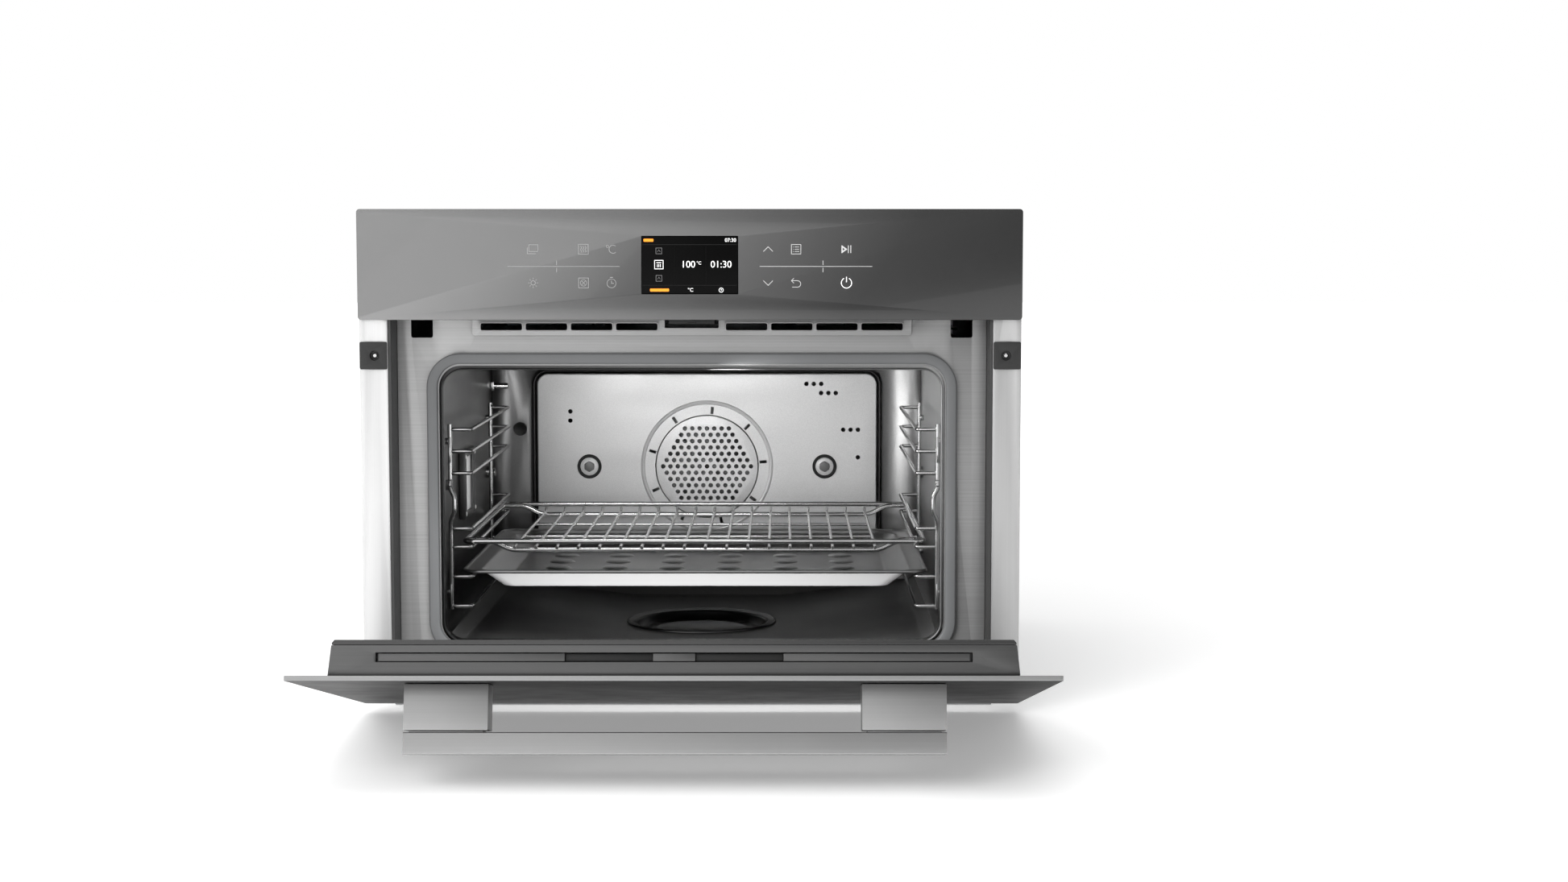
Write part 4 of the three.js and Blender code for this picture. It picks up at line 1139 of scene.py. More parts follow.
@dataclass
class Surround:
    """The steel face round the cavity, its trims, vents, fixing blocks and the door gasket."""

    face: float = 41.0
    vent_half: float = 200.6
    vent_low: float = 342.2
    vent_high: float = 374.0
    slot_first: float = 31.2
    slot_width: float = 37.7
    slot_pitch: float = 41.2
    slot_z: Span = (347.1, 353.4)
    rim: float = 1.1
    gasket: Outline = (242.0, 47.5, 325.9, 31.0)
    gasket_section: tuple[Span, ...] = (
        (0, 40.7), (0, 36.0), (0.5, 35.2), (1.5, 34.9), (5, 34.7), (8.2, 34.9), (9.1, 35.3), (9.6, 36.1),
        (9.6, 40.6))
    fixing: Point = (283.6, 6.0, 325.4)

    def build(self) -> None:
        """Builds and dresses every piece of the front."""
        refit("front_frame", Body.OVEN, FRAME_STEEL, 0.4)
        self.vents()
        refit("door_switch", Body.OVEN, BLACK_PLASTIC, 0.5)
        for side in ("left", "right"):
            refit(f"side_trim_{side}", Body.OVEN, TRIM_STEEL, 0.6)
            dressed(LINER_PLASTIC, f"recess_liner_{side}")
            refit(f"fixing_block_{side}", Body.OVEN, GREY_PLASTIC, 0.3)
        x, d, z = self.fixing
        for side in Side:
            pin = Bench.turned(
                "pin", Axis.Y, (side.value * x, d, z),
                [(0, 0.2), (1.5, 0.2), (2.0, 0.9), (2.0, 4), (0, 4)], 24)
            deliver(Bench.joined(f"fixing_pin_{side.name.lower()}", [pin]), Body.OVEN, CHROME)
        self.seal()

    def vents(self) -> None:
        """The vent plate, with a raised rim round each slot and the notch for the door lever."""
        back, front = self.face - 0.4, self.face - 1.9
        plate = Bench.plate(
            "vent_plate_finished", (-self.vent_half, self.vent_half), (self.vent_low, self.vent_high),
            (front, back), 3.0)
        rims, holes = [], []
        for i in range(4):
            for side in Side:
                near = self.slot_first + i * self.slot_pitch
                x = sorted((side.value * near, side.value * (near + self.slot_width)))
                z = self.slot_z
                rims.append(Bench.plate(
                    "rim", (x[0] - self.rim, x[1] + self.rim), (z[0] - self.rim, z[1] + self.rim),
                    (front - 0.5, front + 0.3), 2.6))
                holes.append(Bench.plate("hole", (x[0], x[1]), z, (front - 5, back + 5), 1.6))
        rims.append(Bench.plate("rim", (-25.8, 25.8), (347.8, 362), (front - 0.5, front + 0.3), 1.6))
        holes.append(Bench.plate("hole", (-24.6, 24.6), (349.1, 361), (front - 5, back + 5), 1.0))
        Bench.fuse(plate, *rims)
        Bench.cut(plate, *holes)
        deliver(Bench.soften(plate, 0.22), Body.OVEN, FRAME_STEEL, "vent_plate")

    def seal(self) -> None:
        """The soft band of the door gasket."""
        loops = [Bench.portal(self.gasket, -inward, depth, 14) for inward, depth in self.gasket_section]
        band = Bench.loft("door_gasket_finished", loops, closed=True)
        deliver(Bench.smooth(band, 50), Body.OVEN, GASKET_RUBBER, "door_gasket")


@dataclass
class Muffle:
    """The cavity: pressed walls, falling floor, rear wall, baffle and evaporator dish."""

    mouth: Outline = (227.7, 61.0, 310.7, 17.0)
    walls: Outline = (233.0, 57.0, 316.5, 22.0)
    step: float = 50.0
    back: float = 452.0
    rear: float = 445.0
    skin: float = 0.6
    creases: tuple[Span, ...] = ((184.0, 54.0), (80.0, 41.0))
    lip: tuple[Span, ...] = (
        (-1.5, 46), (-1.5, 38.4), (-1.1, 37.8), (-0.7, 37.6), (-0.3, 37.8), (0, 38.4), (0, 49))
    dish_depth: float = 266.6
    baffle: Outline = (185.0, 74.0, 284.8, 12.0)
    fan_z: float = 183.5
    grille: float = 55.4
    grille_gap: float = 1.2
    slot_count: int = 9
    slot_turn: float = 5.4
    slot_half: float = 1.65
    slot_reach: Span = (57.6, 65.4)
    hole: float = 2.5
    nut_hole: float = 6.0
    nut_x: float = 128.4
    hole_pitch: float = 8.0
    hole_rows: int = 6
    sensor_holes: tuple[Span, ...] = (
        (-149, 243.7), (-149, 233.6), (108.6, 273.8), (116.6, 273.8), (124.6, 273.8), (124.6, 263.8),
        (132.6, 263.8), (140.6, 263.8), (148.8, 223.6), (156.8, 223.6), (164.8, 223.6), (164.9, 193.3))

    def build(self) -> None:
        """Builds every piece of the cavity."""
        self.shell()
        refit("cavity_rear_wall", Body.OVEN, STRIP_STEEL, 0)
        self.groove_bead()
        self.baffle_plate()
        self.fan_disc()
        for side in Side:
            self.nut(side)
        self.dish()
        refit("temperature_sensor", Body.OVEN, CHROME, 0.4)

    def shell(self) -> None:
        """The pressed walls from the mouth's lip to the back, with the creased floor."""
        loops = [Bench.portal(self.mouth, -grow, depth) for grow, depth in self.lip]
        loops += [Bench.portal(self.mouth, 0.5, self.step - 0.2), Bench.portal(self.walls, -1.4, self.step)]
        loops += [Bench.portal(self.walls, 0, self.step + 1.2), Bench.portal(self.walls, 0, self.back)]
        shell = Bench.loft("cavity_shell_finished", loops)
        for crease, _ in self.creases:
            for side in Side:
                Bench.choose(shell, Pick.VERTS, lambda v: True)
                bpy.ops.mesh.bisect(plane_co=at(side.value * crease, 0, 0), plane_no=(1, 0, 0))
                bpy.ops.object.mode_set(mode="OBJECT")
        floor = self.walls[1]
        for vertex in shell.data.vertices:
            x, d, z = vertex.co.x / MM, vertex.co.y / MM + BODY_CENTRE, vertex.co.z / MM
            if z < floor + 1.6 and d > self.step - 0.1:
                for crease, level in self.creases:
                    if abs(x) <= crease + 0.01:
                        vertex.co.z = level * MM
        Bench.tidy(shell)
        middle = at(0, 250, 180)
        walls = (p for p in shell.data.polygons if p.center.y > at(0, 60, 0).y)
        inward = sum((middle - p.center).dot(p.normal) for p in walls)
        if inward < 0:
            Bench.flip(shell)
        Bench.modify(shell, "SOLIDIFY", thickness=self.skin * MM, offset=-1.0)
        Bench.cut(
            shell,
            Bench.rod("hole", Axis.Z, (0, self.dish_depth, 45), 69, 30, 64),
            Bench.block("hole", (-240, -225), (186, 220), (165, 215)))
        Bench.smooth(shell, 35)
        # The floor faces take the darker copy of the steel: painted shade under the tray and the shelf.
        shell.data.materials.append(MUFFLE_STEEL.material())
        shell.data.materials.append(FLOOR_SHADE_STEEL.material())
        for face in shell.data.polygons:
            z, d = face.center.z / MM, face.center.y / MM + BODY_CENTRE
            if z < floor + 6 and d > self.step + 0.5 and abs(face.normal.z) > 0.35:
                face.material_index = 1
        deliver(shell, Body.OVEN, MUFFLE_STEEL, "cavity_shell")

    def groove_bead(self) -> None:
        """The thin rail in the groove round the baffle."""
        section = ((2.4, 450), (2.4, 445.6), (2.9, 445.1), (3.6, 445.0), (4.1, 445.6), (4.1, 450.2))
        loops = [Bench.portal(self.baffle, out, depth) for out, depth in section]
        bead = Bench.loft("groove_bead", loops, closed=True)
        deliver(Bench.smooth(bead, 40), Body.OVEN, GROOVE_STEEL)

    def baffle_plate(self) -> None:
        """The baffle: a pressed plate with a raised ring round the fan, slots and holes."""
        section = ((0, 454), (0, 446.2), (0.3, 445.5), (1.0, 445.1), (1.6, 445.0))
        loops = [Bench.portal(self.baffle, -inward, depth) for inward, depth in section]
        plate = Bench.loft("air_baffle_finished", loops, caps=(False, True))
        Bench.modify(plate, "SOLIDIFY", thickness=1.0 * MM, offset=-1.0)
        centre = (0, self.rear, self.fan_z)
        ridge = [
            (67.8, 0.4), (67.8, -0.05), (68.6, -1.2), (70.0, -1.7), (71.4, -1.2), (72.2, -0.05), (72.2, 0.4)]
        Bench.fuse(plate, Bench.turned("ridge", Axis.Y, centre, ridge, 96))
        tools = [Bench.rod("hole", Axis.Y, centre, self.grille + self.grille_gap, 40, 96)]
        tools += [
            Bench.rod("hole", Axis.Y, (x, self.rear, z), self.hole, 20, 20) for x, z in self.sensor_holes]
        tools += [
            Bench.rod("hole", Axis.Y, (side.value * self.nut_x, self.rear, self.fan_z), self.nut_hole, 20, 24)
            for side in Side]
        near, far = self.slot_reach
        pivot = at(*centre)
        for i in range(self.slot_count):
            slot = Bench.block(
                "slot", (-self.slot_half, self.slot_half), (430, 452), (self.fan_z + near, self.fan_z + far))
            turn = Matrix.Rotation(math.radians(self.slot_turn + i * 360 / self.slot_count), 4, "Y")
            slot.data.transform(Matrix.Translation(pivot) @ turn @ Matrix.Translation(-pivot))
            tools.append(slot)
        Bench.cut(plate, *tools)
        deliver(Bench.smooth(plate, 30), Body.OVEN, BACK_STEEL, "air_baffle")

    def fan_disc(self) -> None:
        """The perforated disc in front of the fan: rows of round holes on a triangular grid."""
        centre = (0, self.rear + 0.2, self.fan_z)
        disc = Bench.rod("fan_grille_finished", Axis.Y, centre, self.grille, 1.4, 96)
        Bench.soften(disc, 0.4, 3)
        holes = []
        widest = 2 * self.hole_rows + 1
        for row in range(-self.hole_rows, self.hole_rows + 1):
            count = widest - abs(row)
            for i in range(count):
                x = (i - (count - 1) / 2) * self.hole_pitch
                z = self.fan_z + row * self.hole_pitch * math.sin(math.pi / 3)
                holes.append(Bench.rod("hole", Axis.Y, (x, self.rear, z), self.hole, 12, 14))
        Bench.cut(disc, *holes)
        deliver(Bench.smooth(disc, 35), Body.OVEN, BACK_STEEL, "fan_grille")

    def nut(self, side: Side) -> None:
        """A baffle nut: a rubber seal, a bright washer and a hexagon."""
        name = side.name.lower()
        centre = (side.value * self.nut_x, self.rear, self.fan_z)
        seal = [(9.9, -0.1), (9.9, -1.4), (10.6, -2.1), (12.2, -2.1), (13.2, -1.3), (13.2, -0.1)]
        deliver(Bench.turned(f"nut_seal_{name}", Axis.Y, centre, seal, 48), Body.OVEN, SEAL_RUBBER)
        washer = [(5.2, -0.2), (5.2, -1.9), (5.8, -2.3), (9.0, -1.9), (9.8, -1.3), (9.8, -0.2)]
        deliver(Bench.turned(f"nut_washer_{name}", Axis.Y, centre, washer, 48), Body.OVEN, NUT_STEEL)
        head = Bench.rod(f"nut_hexagon_{name}", Axis.Y, (centre[0], self.rear - 2.4, self.fan_z), 5.9, 4.6, 6)
        deliver(Bench.soften(head, 0.5, 3), Body.OVEN, SOCKET_STEEL, f"baffle_nut_{name}")

    def dish(self) -> None:
        """The round evaporator dish in the floor."""
        profile = [
            (0, 32.0), (61, 32.0), (65.5, 34.0), (67.5, 40.6), (69.5, 41.5), (75.2, 41.5), (76.0, 42.2),
            (75.6, 43.4), (74.0, 44.0), (72.2, 43.6), (70.8, 42.8), (67.6, 42.6), (65.4, 41.0), (63.4, 36.0),
            (60.5, 33.8), (52, 33.4), (50, 34.4), (47, 34.9), (44, 34.4), (42, 33.4), (0, 33.2)]
        dish = Bench.turned("evaporator_dish_finished", Axis.Z, (0, self.dish_depth, 0), profile, 96)
        deliver(Bench.smooth(dish, 40), Body.OVEN, DISH_STEEL, "evaporator_dish")


@dataclass
class SideLamp:
    """The lamp in the left wall, behind a framed window."""

    screws: tuple[Span, ...] = ((179, 162), (179, 218), (244, 162), (244, 218))
    wall: float = -226.7

    def build(self) -> None:
        """Dresses the frame, window and bulb, and adds the frame's screws."""
        refit("lamp_frame", Body.OVEN, MUFFLE_STEEL, 0.9, 3)
        refit("lamp_glass", Body.OVEN, LAMP_GLASS, 0.8, 3)
        dressed(BULB_GLASS, "lamp_bulb")
        profile = [(0, -0.8), (2.2, -0.8), (2.2, 0.3), (1.6, 0.8), (0, 1.0)]
        heads = [Bench.turned("head", Axis.X, (self.wall, d, z), profile, 16) for d, z in self.screws]
        deliver(Bench.joined("lamp_screws", heads), Body.OVEN, NUT_STEEL)


@dataclass
class SideRack:
    """One ladder of bent wire on a side wall, with its clamp nut and rear bolt."""

    x: float = 208.0
    wall: float = 227.5
    plate: float = 232.6
    front: float = 78.6
    back: float = 376.0
    wire: float = 1.8
    post: float = 2.2
    levels: tuple[float, ...] = (253.0, 232.6, 212.0, 160.0, 142.6, 114.6, 86.8)
    ends: Span = (84.0, 258.0)
    bolt_z: float = 183.0

    def build(self) -> None:
        """Builds the right rack and its mirrored left twin."""
        rack = self.ladder()
        deliver(Bench.mirrored(rack, "rack_left_finished"), Body.OVEN, CHROME, "rack_left")
        deliver(rack, Body.OVEN, CHROME, "rack_right")
        knob = self.knob()
        deliver(Bench.mirrored(knob, "rack_knob_left"), Body.OVEN, CHROME)
        deliver(knob, Body.OVEN, CHROME)
        bolt = self.bolt()
        deliver(Bench.mirrored(bolt, "rack_bolt_left_finished"), Body.OVEN, CHROME, "rack_bolt_left")
        deliver(bolt, Body.OVEN, CHROME, "rack_bolt_right")

    def ladder(self) -> bpy.types.Object:
        """The posts, the rungs, the front clip and the feet of the right rack."""
        pieces = []
        low, high = self.ends
        w, f = self.wall, self.front
        keyhole = [
            (w, f, high), (w, f, 204), (w, f - 3.4, 198), (w - 4.2, f - 3.8, 190), (w - 4.2, f - 3.8, 176),
            (w, f - 1.2, 167), (w, f, 160), (w, f, low)]
        pieces.append(Bench.tube("post", keyhole, self.post, 3.4))
        pieces.append(Bench.tube("post", [(w, self.back, high), (w, self.back, low)], self.post))
        for z in self.levels:
            rung = [(w, f, z), (self.x, f, z), (self.x, self.back, z), (w, self.back, z)]
            pieces.append(Bench.tube("rung", rung, self.wire, 4.5))
        for z in (234, 96):
            clip = Bench.block("clip", (w - 1.0, w + 1.2), (f - 4.4, f + 4.4), (z - 12, z + 12))
            pieces.append(Bench.soften(clip, 0.6))
        for d in (f, self.back):
            for z in (low + 16, high - 16):
                foot = Bench.rod("foot", Axis.X, ((w + self.plate) / 2, d, z), 3.0, self.plate - w, 20)
                pieces.append(Bench.soften(foot, 0.5))
        return Bench.joined("rack_right_finished", pieces)

    def knob(self) -> bpy.types.Object:
        """The knurled clamp nut at the front post."""
        centre = ((self.wall + self.plate) / 2 - 0.8, self.front, 201.0)
        knob = Bench.rod("rack_knob_right", Axis.X, centre, 5.4, 6.4, 24)
        for vertex in knob.data.vertices:
            middle = at(vertex.co.x / MM, centre[1], centre[2])
            middle.x = vertex.co.x
            spoke = vertex.co - middle
            angle = math.atan2(spoke.z, spoke.y)
            vertex.co = middle + spoke * (1.0 - 0.16 * (0.5 - 0.5 * math.cos(6 * angle)))
        return Bench.soften(knob, 0.5, 3)

    def bolt(self) -> bpy.types.Object:
        """The stepped bolt behind the rear post."""
        w = self.wall
        profile = [
            (0, w + 5), (6.2, w + 5), (6.2, w + 2.6), (5.4, w + 1.6), (3.4, w + 1.2), (3.4, w - 0.6),
            (4.6, w - 1.2), (5.0, w - 2.6), (4.4, w - 3.6), (0, w - 4.0)]
        centre = (0, self.back + self.post + 7, self.bolt_z)
        obj = Bench.turned("rack_bolt_right_finished", Axis.X, centre, profile, 32)
        return Bench.smooth(obj, 40)


@dataclass
class WireShelf:
    """The sliding wire shelf: a closed frame, two dropped rails and eighteen wires."""

    half: float = 215.8
    front: float = 84.0
    back: float = 400.0
    rail: float = 2.5
    drop: float = 9.6
    level: float = 147.2
    wires: int = 18
    pitch: float = 20.0
    wire: float = 1.5

    def build(self) -> None:
        """Builds the shelf as one welded piece."""
        h, f, b, z = self.half, self.front, self.back, self.level
        low = z - self.drop
        frame_wire = [(-h, f, z), (h, f, z), (h, b, z), (-h, b, z)]
        pieces = [Bench.tube("rail", frame_wire, self.rail, 10, ring=True, fineness=6)]
        for d in (f + 12, b - 14):
            right = [(h, d, z), (193, d, z), (174, d, low)]
            route = [(-x, y, level) for x, y, level in right] + right[::-1]
            pieces.append(Bench.tube("rail", route, self.rail - 0.1, 7, fineness=6))
        for d in (190, 290):
            pieces.append(Bench.tube("cross", [(-172, d, low + 0.8), (172, d, low + 0.8)], self.wire))
        top = low + self.rail + self.wire - 0.8
        for i in range(self.wires):
            x = (i - (self.wires - 1) / 2) * self.pitch
            route = [(x, f + 8, top - 0.6), (x, f + 16, top), (x, b - 16, top), (x, b - 9, top + 3.2)]
            pieces.append(Bench.tube("wire", route, self.wire, 3.5))
        shelf = Bench.joined("wire_shelf_finished", pieces)
        deliver(shelf, Body.SHELF, CHROME, "wire_shelf")


@dataclass
class BakingTray:
    """The pressed tray: rolled rim, flange, sloped sides and a dimpled floor."""

    outline: tuple[float, float, float] = (219.5, 242.5, 161.5)
    section: tuple[tuple[float, float, float], ...] = (
        (1.6, 116.9, 17), (0.2, 117.4, 18), (0.0, 118.4, 18), (0.5, 119.6, 18), (1.6, 120.2, 17),
        (2.7, 119.8, 16), (3.4, 118.5, 16), (4.4, 117.95, 16), (15.0, 117.85, 15), (16.6, 117.5, 15),
        (17.8, 116.6, 14), (33.4, 102.4, 14), (34.4, 101.4, 14), (36.4, 100.9, 13))
    sheet: float = 1.1
    dimple: float = 13.0
    columns: tuple[float, ...] = (-142.5, -85.5, -28.5, 28.5, 85.5, 142.5)
    rows: tuple[float, ...] = (142.0, 188.0, 234.0, 280.0, 326.0)
    rim_low: float = 116.4

    def build(self) -> None:
        """Bridges the section round the tray, thickens it and presses in the dimples."""
        half, middle, reach = self.outline
        loops = [
            Bench.loop(False, (half - inward, reach - inward), (0, middle, z), radius, 8)
            for inward, z, radius in self.section]
        tray = Bench.loft("baking_tray_finished", loops, caps=(False, True))
        if sum(face.normal.z for face in tray.data.polygons if face.center.z < at(0, 0, 101.2).z) < 0:
            Bench.flip(tray)
        Bench.modify(tray, "SOLIDIFY", thickness=self.sheet * MM, offset=-1.0)
        floor = self.section[-1][1]
        profile = [
            (0, -0.5), (0, 2.5), (4.0, 2.4), (9.0, 1.9), (11.6, 0.9), (self.dimple, 0.0), (self.dimple, -0.5)]
        bumps = [
            Bench.turned("dimple", Axis.Z, (x, d, floor), profile, 28)
            for x in self.columns for d in self.rows]
        Bench.fuse(tray, *bumps)
        Bench.smooth(tray, 32)
        tray.data.materials.clear()
        for finish in (TRAY_STEEL, TRAY_PAINTED_LIGHT):
            tray.data.materials.append(finish.material())
        # Faces below the rim that face down and forwards take the painted light copy of the tray steel.
        for face in tray.data.polygons:
            under = face.normal.z < -0.2 and face.normal.y < -0.3
            face.material_index = 1 if under and face.center.z < self.rim_low * MM else 0
        deliver(tray, Body.TRAY, TRAY_STEEL, "baking_tray")


@dataclass
class ControlPanel:
    """The control glass with its printed signs, and the display behind its opening."""

    screen_half: float = 43.2
    face: float = 0.3
    ink: float = 0.06
    rows: Span = (420.7, 390.7)
    columns: tuple[float, ...] = (70.0, 95.0, 140.0)
    divider_z: float = 405.4
    divider: Span = (62.6, 163.0)
    tick: float = 119.0
    circle_steps: int = 24
    clock_face: Span = (28.0, 384.3)
    mode_x: float = -27.6
    screen_middle: float = 407.0
    pieces: dict[Ink, list[bpy.types.Object]] = field(default_factory=dict)

    def build(self) -> None:
        """Dresses the panel and lays out its signs."""
        refit("control_glass", Body.OVEN, PANEL_GLASS, 0.5, 3)
        dressed(BLACK_PLASTIC, "panel_housing")
        refit("display_module", Body.OVEN, SCREEN_BLACK, 0.25)
        self.signs()
        self.display()
        finishes = {
            Ink.FAINT: PRINT_FAINT, Ink.PLAIN: PRINT_LIGHT, Ink.BRIGHT: PRINT_BRIGHT,
            Ink.WHITE: SCREEN_WHITE, Ink.DIM: SCREEN_FAINT, Ink.ORANGE: SCREEN_ORANGE,
            Ink.SHADE: SCREEN_SHADE}
        for ink, made in self.pieces.items():
            deliver(Bench.joined(ink.value, made), Body.OVEN, finishes[ink])

    def line(
        self, ink: Ink, points: Sequence[Span], width: Stroke, depth: float = 0.0, ring: bool = False
    ) -> None:
        """A drawn line of even width.

        Args:
            ink: What it is printed in.
            points: Its corners, as x and z.
            width: Its width.
            depth: The depth of the face that it is printed on.
            ring: True if it closes on itself.
        """
        stroke = Bench.tube("line", [(x, 0, z) for x, z in points], width.value / 2, 0.01, ring, 1)
        self.flatten(stroke, depth)
        self.pieces.setdefault(ink, []).append(stroke)

    def flatten(self, obj: bpy.types.Object, depth: float) -> None:
        """Presses a shape to the ink's thickness on the face at the depth given."""
        places = [v.co.y for v in obj.data.vertices]
        low, high = min(places), max(places)
        for vertex in obj.data.vertices:
            share = (vertex.co.y - low) / max(high - low, 1e-9)
            vertex.co.y = at(0, depth - self.ink * (1.0 - share), 0).y

    def circle(
        self, ink: Ink, x: float, z: float, r: float, width: Stroke, depth: float = 0.0,
        arc: Span = (0, 360),
    ) -> None:
        """A drawn circle, or a part of one.

        Args:
            ink: What it is printed in.
            x: Its centre's place across.
            z: Its centre's height.
            r: Its radius.
            width: The line's width.
            depth: The depth of the face that it is printed on.
            arc: The angles that it runs between, in degrees.
        """
        start, end = arc
        full = end - start >= 360
        steps = self.circle_steps
        angles = [
            math.radians(start + (end - start) * i / steps) for i in range(steps if full else steps + 1)]
        points = [(x + r * math.cos(a), z + r * math.sin(a)) for a in angles]
        self.line(ink, points, width, depth, full)

    @staticmethod
    def outline(x: Span, z: Span) -> list[Span]:
        """The corners of a rectangle."""
        return [(x[0], z[0]), (x[0], z[1]), (x[1], z[1]), (x[1], z[0])]

    def box(self, ink: Ink, x: Span, z: Span, depth: float) -> None:
        """A filled rectangle with small round corners."""
        plate = Bench.plate("box", x, z, (depth - self.ink, depth), min(0.6, (z[1] - z[0]) * 0.3), 3)
        self.pieces.setdefault(ink, []).append(plate)

    def words(self, ink: Ink, text: str, x: float, z: float, size: float, depth: float) -> None:
        """Figures in the plain built-in face, centred on a point."""
        Bench.clear()
        bpy.ops.object.text_add(location=at(x, depth, z), rotation=(math.pi / 2, 0, 0))
        letters = bpy.context.object
        letters.data.body = text
        letters.data.size = size * MM
        letters.data.align_x = "CENTER"
        letters.data.align_y = "CENTER"
        letters.data.extrude = self.ink * MM / 2
        letters.data.resolution_u = 4
        bpy.ops.object.convert(target="MESH")
        obj = Bench.settle("figures")
        Bench.tidy(obj)
        self.flatten(obj, depth)
        self.pieces.setdefault(ink, []).append(obj)

    def signs(self) -> None:
        """The touch signs on the glass: three columns and two rows on each side."""
        top, low = self.rows
        near, mid, far = self.columns
        for side in Side:
            s = side.value
            ink = Ink.FAINT if side is Side.LEFT else Ink.PLAIN
            start, end = self.divider
            self.line(ink, [(s * start, self.divider_z), (s * end, self.divider_z)], Stroke.THIN)
            tick = s * self.tick
            self.line(ink, [(tick, self.divider_z - 5.2), (tick, self.divider_z - 1.2)], Stroke.THIN)
            self.line(ink, [(tick, self.divider_z + 1.2), (tick, self.divider_z + 5.2)], Stroke.THIN)
        self.left_signs(-far, -mid, -near, top, low)
        self.right_signs(near, mid, far, top, low)

    def left_signs(self, far: float, mid: float, near: float, top: float, low: float) -> None:
        """Trays, steam, temperature, lamp, fan and clock."""
        ink = Ink.FAINT
        self.line(ink, self.outline((far - 3.5, far + 4.5), (top - 2, top + 4)), Stroke.THIN, ring=True)
        self.line(ink, [(far - 5, top + 1.5), (far - 5, top - 4), (far + 2.5, top - 4)], Stroke.THIN)
        for z in (top, low):
            self.line(ink, self.outline((mid - 4.4, mid + 4.4), (z - 4.4, z + 4.4)), Stroke.THIN, ring=True)
        for step in (-2, 0, 2):
            wave = [(mid + step + 0.5 * math.sin(i * 1.3), top - 2.8 + i * 0.7) for i in range(9)]
            self.line(ink, wave, Stroke.FINE)
        self.circle(ink, mid, low, 2.8, Stroke.FINE)
        for i in range(4):
            angle = math.radians(45 + 90 * i)
            tip = (mid + 2.4 * math.cos(angle), low + 2.4 * math.sin(angle))
            self.line(ink, [(mid, low), tip], Stroke.FINE)
        self.circle(ink, near - 3.4, top + 2.6, 1.1, Stroke.FINE)
        self.circle(ink, near + 1.6, top, 3.6, Stroke.PLAIN, arc=(50, 310))
        self.circle(ink, far, low, 2.0, Stroke.THIN)
        for i in range(8):
            a = math.radians(45 * i)
            self.line(ink, [(far + r * math.cos(a), low + r * math.sin(a)) for r in (3.1, 4.6)], Stroke.FINE)
        self.circle(ink, near, low - 0.4, 4.0, Stroke.THIN)
        self.line(ink, [(near, low + 2.0), (near, low - 0.4), (near + 2.2, low - 0.4)], Stroke.THIN)
        self.line(ink, [(near - 1.4, low + 4.9), (near + 1.4, low + 4.9)], Stroke.FIRM)

    def right_signs(self, near: float, mid: float, far: float, top: float, low: float) -> None:
        """Up, list, start and pause, down, back and power."""
        ink = Ink.PLAIN
        self.line(ink, [(near - 4.2, top - 2), (near, top + 2.2), (near + 4.2, top - 2)], Stroke.FIRM)
        self.line(ink, [(near - 4.2, low + 2), (near, low - 2.2), (near + 4.2, low + 2)], Stroke.FIRM)
        self.line(ink, self.outline((mid - 4.2, mid + 4.2), (top - 4.2, top + 4.2)), Stroke.PLAIN, ring=True)
        for z in (top - 2, top, top + 2):
            self.line(ink, [(mid - 1.2, z), (mid + 2.6, z)], Stroke.THIN)
            self.line(ink, [(mid - 2.8, z), (mid - 2.3, z)], Stroke.FIRM)
        for shift in (0.4, 1.0, 1.6):
            size = 3.6 - shift
            tip = far - 4.4 + shift * 0.4
            arrow = [(tip, top - size), (tip + size * 1.4, top), (tip, top + size)]
            self.line(ink, arrow, Stroke.BOLD, ring=True)
        for x in (far + 1.6, far + 3.8):
            self.line(ink, [(x, top - 3.4), (x, top + 3.4)], Stroke.BOLD)
        self.line(ink, [(mid - 2.0, low + 4.2), (mid - 4.2, low + 2.0), (mid - 2.0, low - 0.2)], Stroke.PLAIN)
        self.line(ink, [(mid - 4.0, low + 2.0), (mid + 1.4, low + 2.0)], Stroke.PLAIN)
        self.circle(ink, mid + 1.2, low - 0.9, 2.9, Stroke.PLAIN, arc=(-90, 90))
        self.line(ink, [(mid + 1.2, low - 3.8), (mid - 3.6, low - 3.8)], Stroke.PLAIN)
        self.circle(Ink.BRIGHT, far, low, 4.6, Stroke.HEAVY, arc=(118, 422))
        self.line(Ink.BRIGHT, [(far, low + 0.6), (far, low + 5.4)], Stroke.HEAVY)

    def display(self) -> None:
        """The picture on the screen: a header, three columns and a footer."""
        d = self.face
        centre = self.screen_middle
        self.box(Ink.SHADE, (-self.screen_half + 1, self.screen_half - 1), (424.6, 425.0), d)
        for x in (-13.6, 14.4):
            self.box(Ink.SHADE, (x - 0.15, x + 0.15), (389.0, 424.0), d)
        self.box(Ink.SHADE, (-self.screen_half + 1, self.screen_half - 1), (388.4, 388.7), d)
        self.words(Ink.WHITE, "07:30", 36.4, 428.7, 4.6, d)
        self.words(Ink.WHITE, "100", -1.4, centre, 8.6, d)
        self.words(Ink.WHITE, "°C", 8.2, centre + 1.3, 4.0, d)
        self.words(Ink.WHITE, "01:30", 28.0, centre, 8.6, d)
        self.words(Ink.WHITE, "°C", 0.6, 384.3, 4.6, d)
        x, z = self.clock_face
        self.circle(Ink.WHITE, x, z, 1.9, Stroke.THIN, d)
        self.line(Ink.WHITE, [(x, z + 1.1), (x, z), (x + 0.9, z)], Stroke.FINEST, d)
        x = self.mode_x
        ring = self.outline((x - 3.8, x + 3.8), (centre - 3.8, centre + 3.8))
        self.line(Ink.WHITE, ring, Stroke.FIRM, d, True)
        self.line(Ink.WHITE, [(x - 2.2, centre + 1.8), (x + 2.2, centre + 1.8)], Stroke.FIRM, d)
        for step in (-1.4, 0.0, 1.4):
            self.line(Ink.WHITE, [(x + step, centre - 2.4), (x + step, centre + 0.6)], Stroke.FINE, d)
        for z in (centre + 12.2, centre - 12.2):
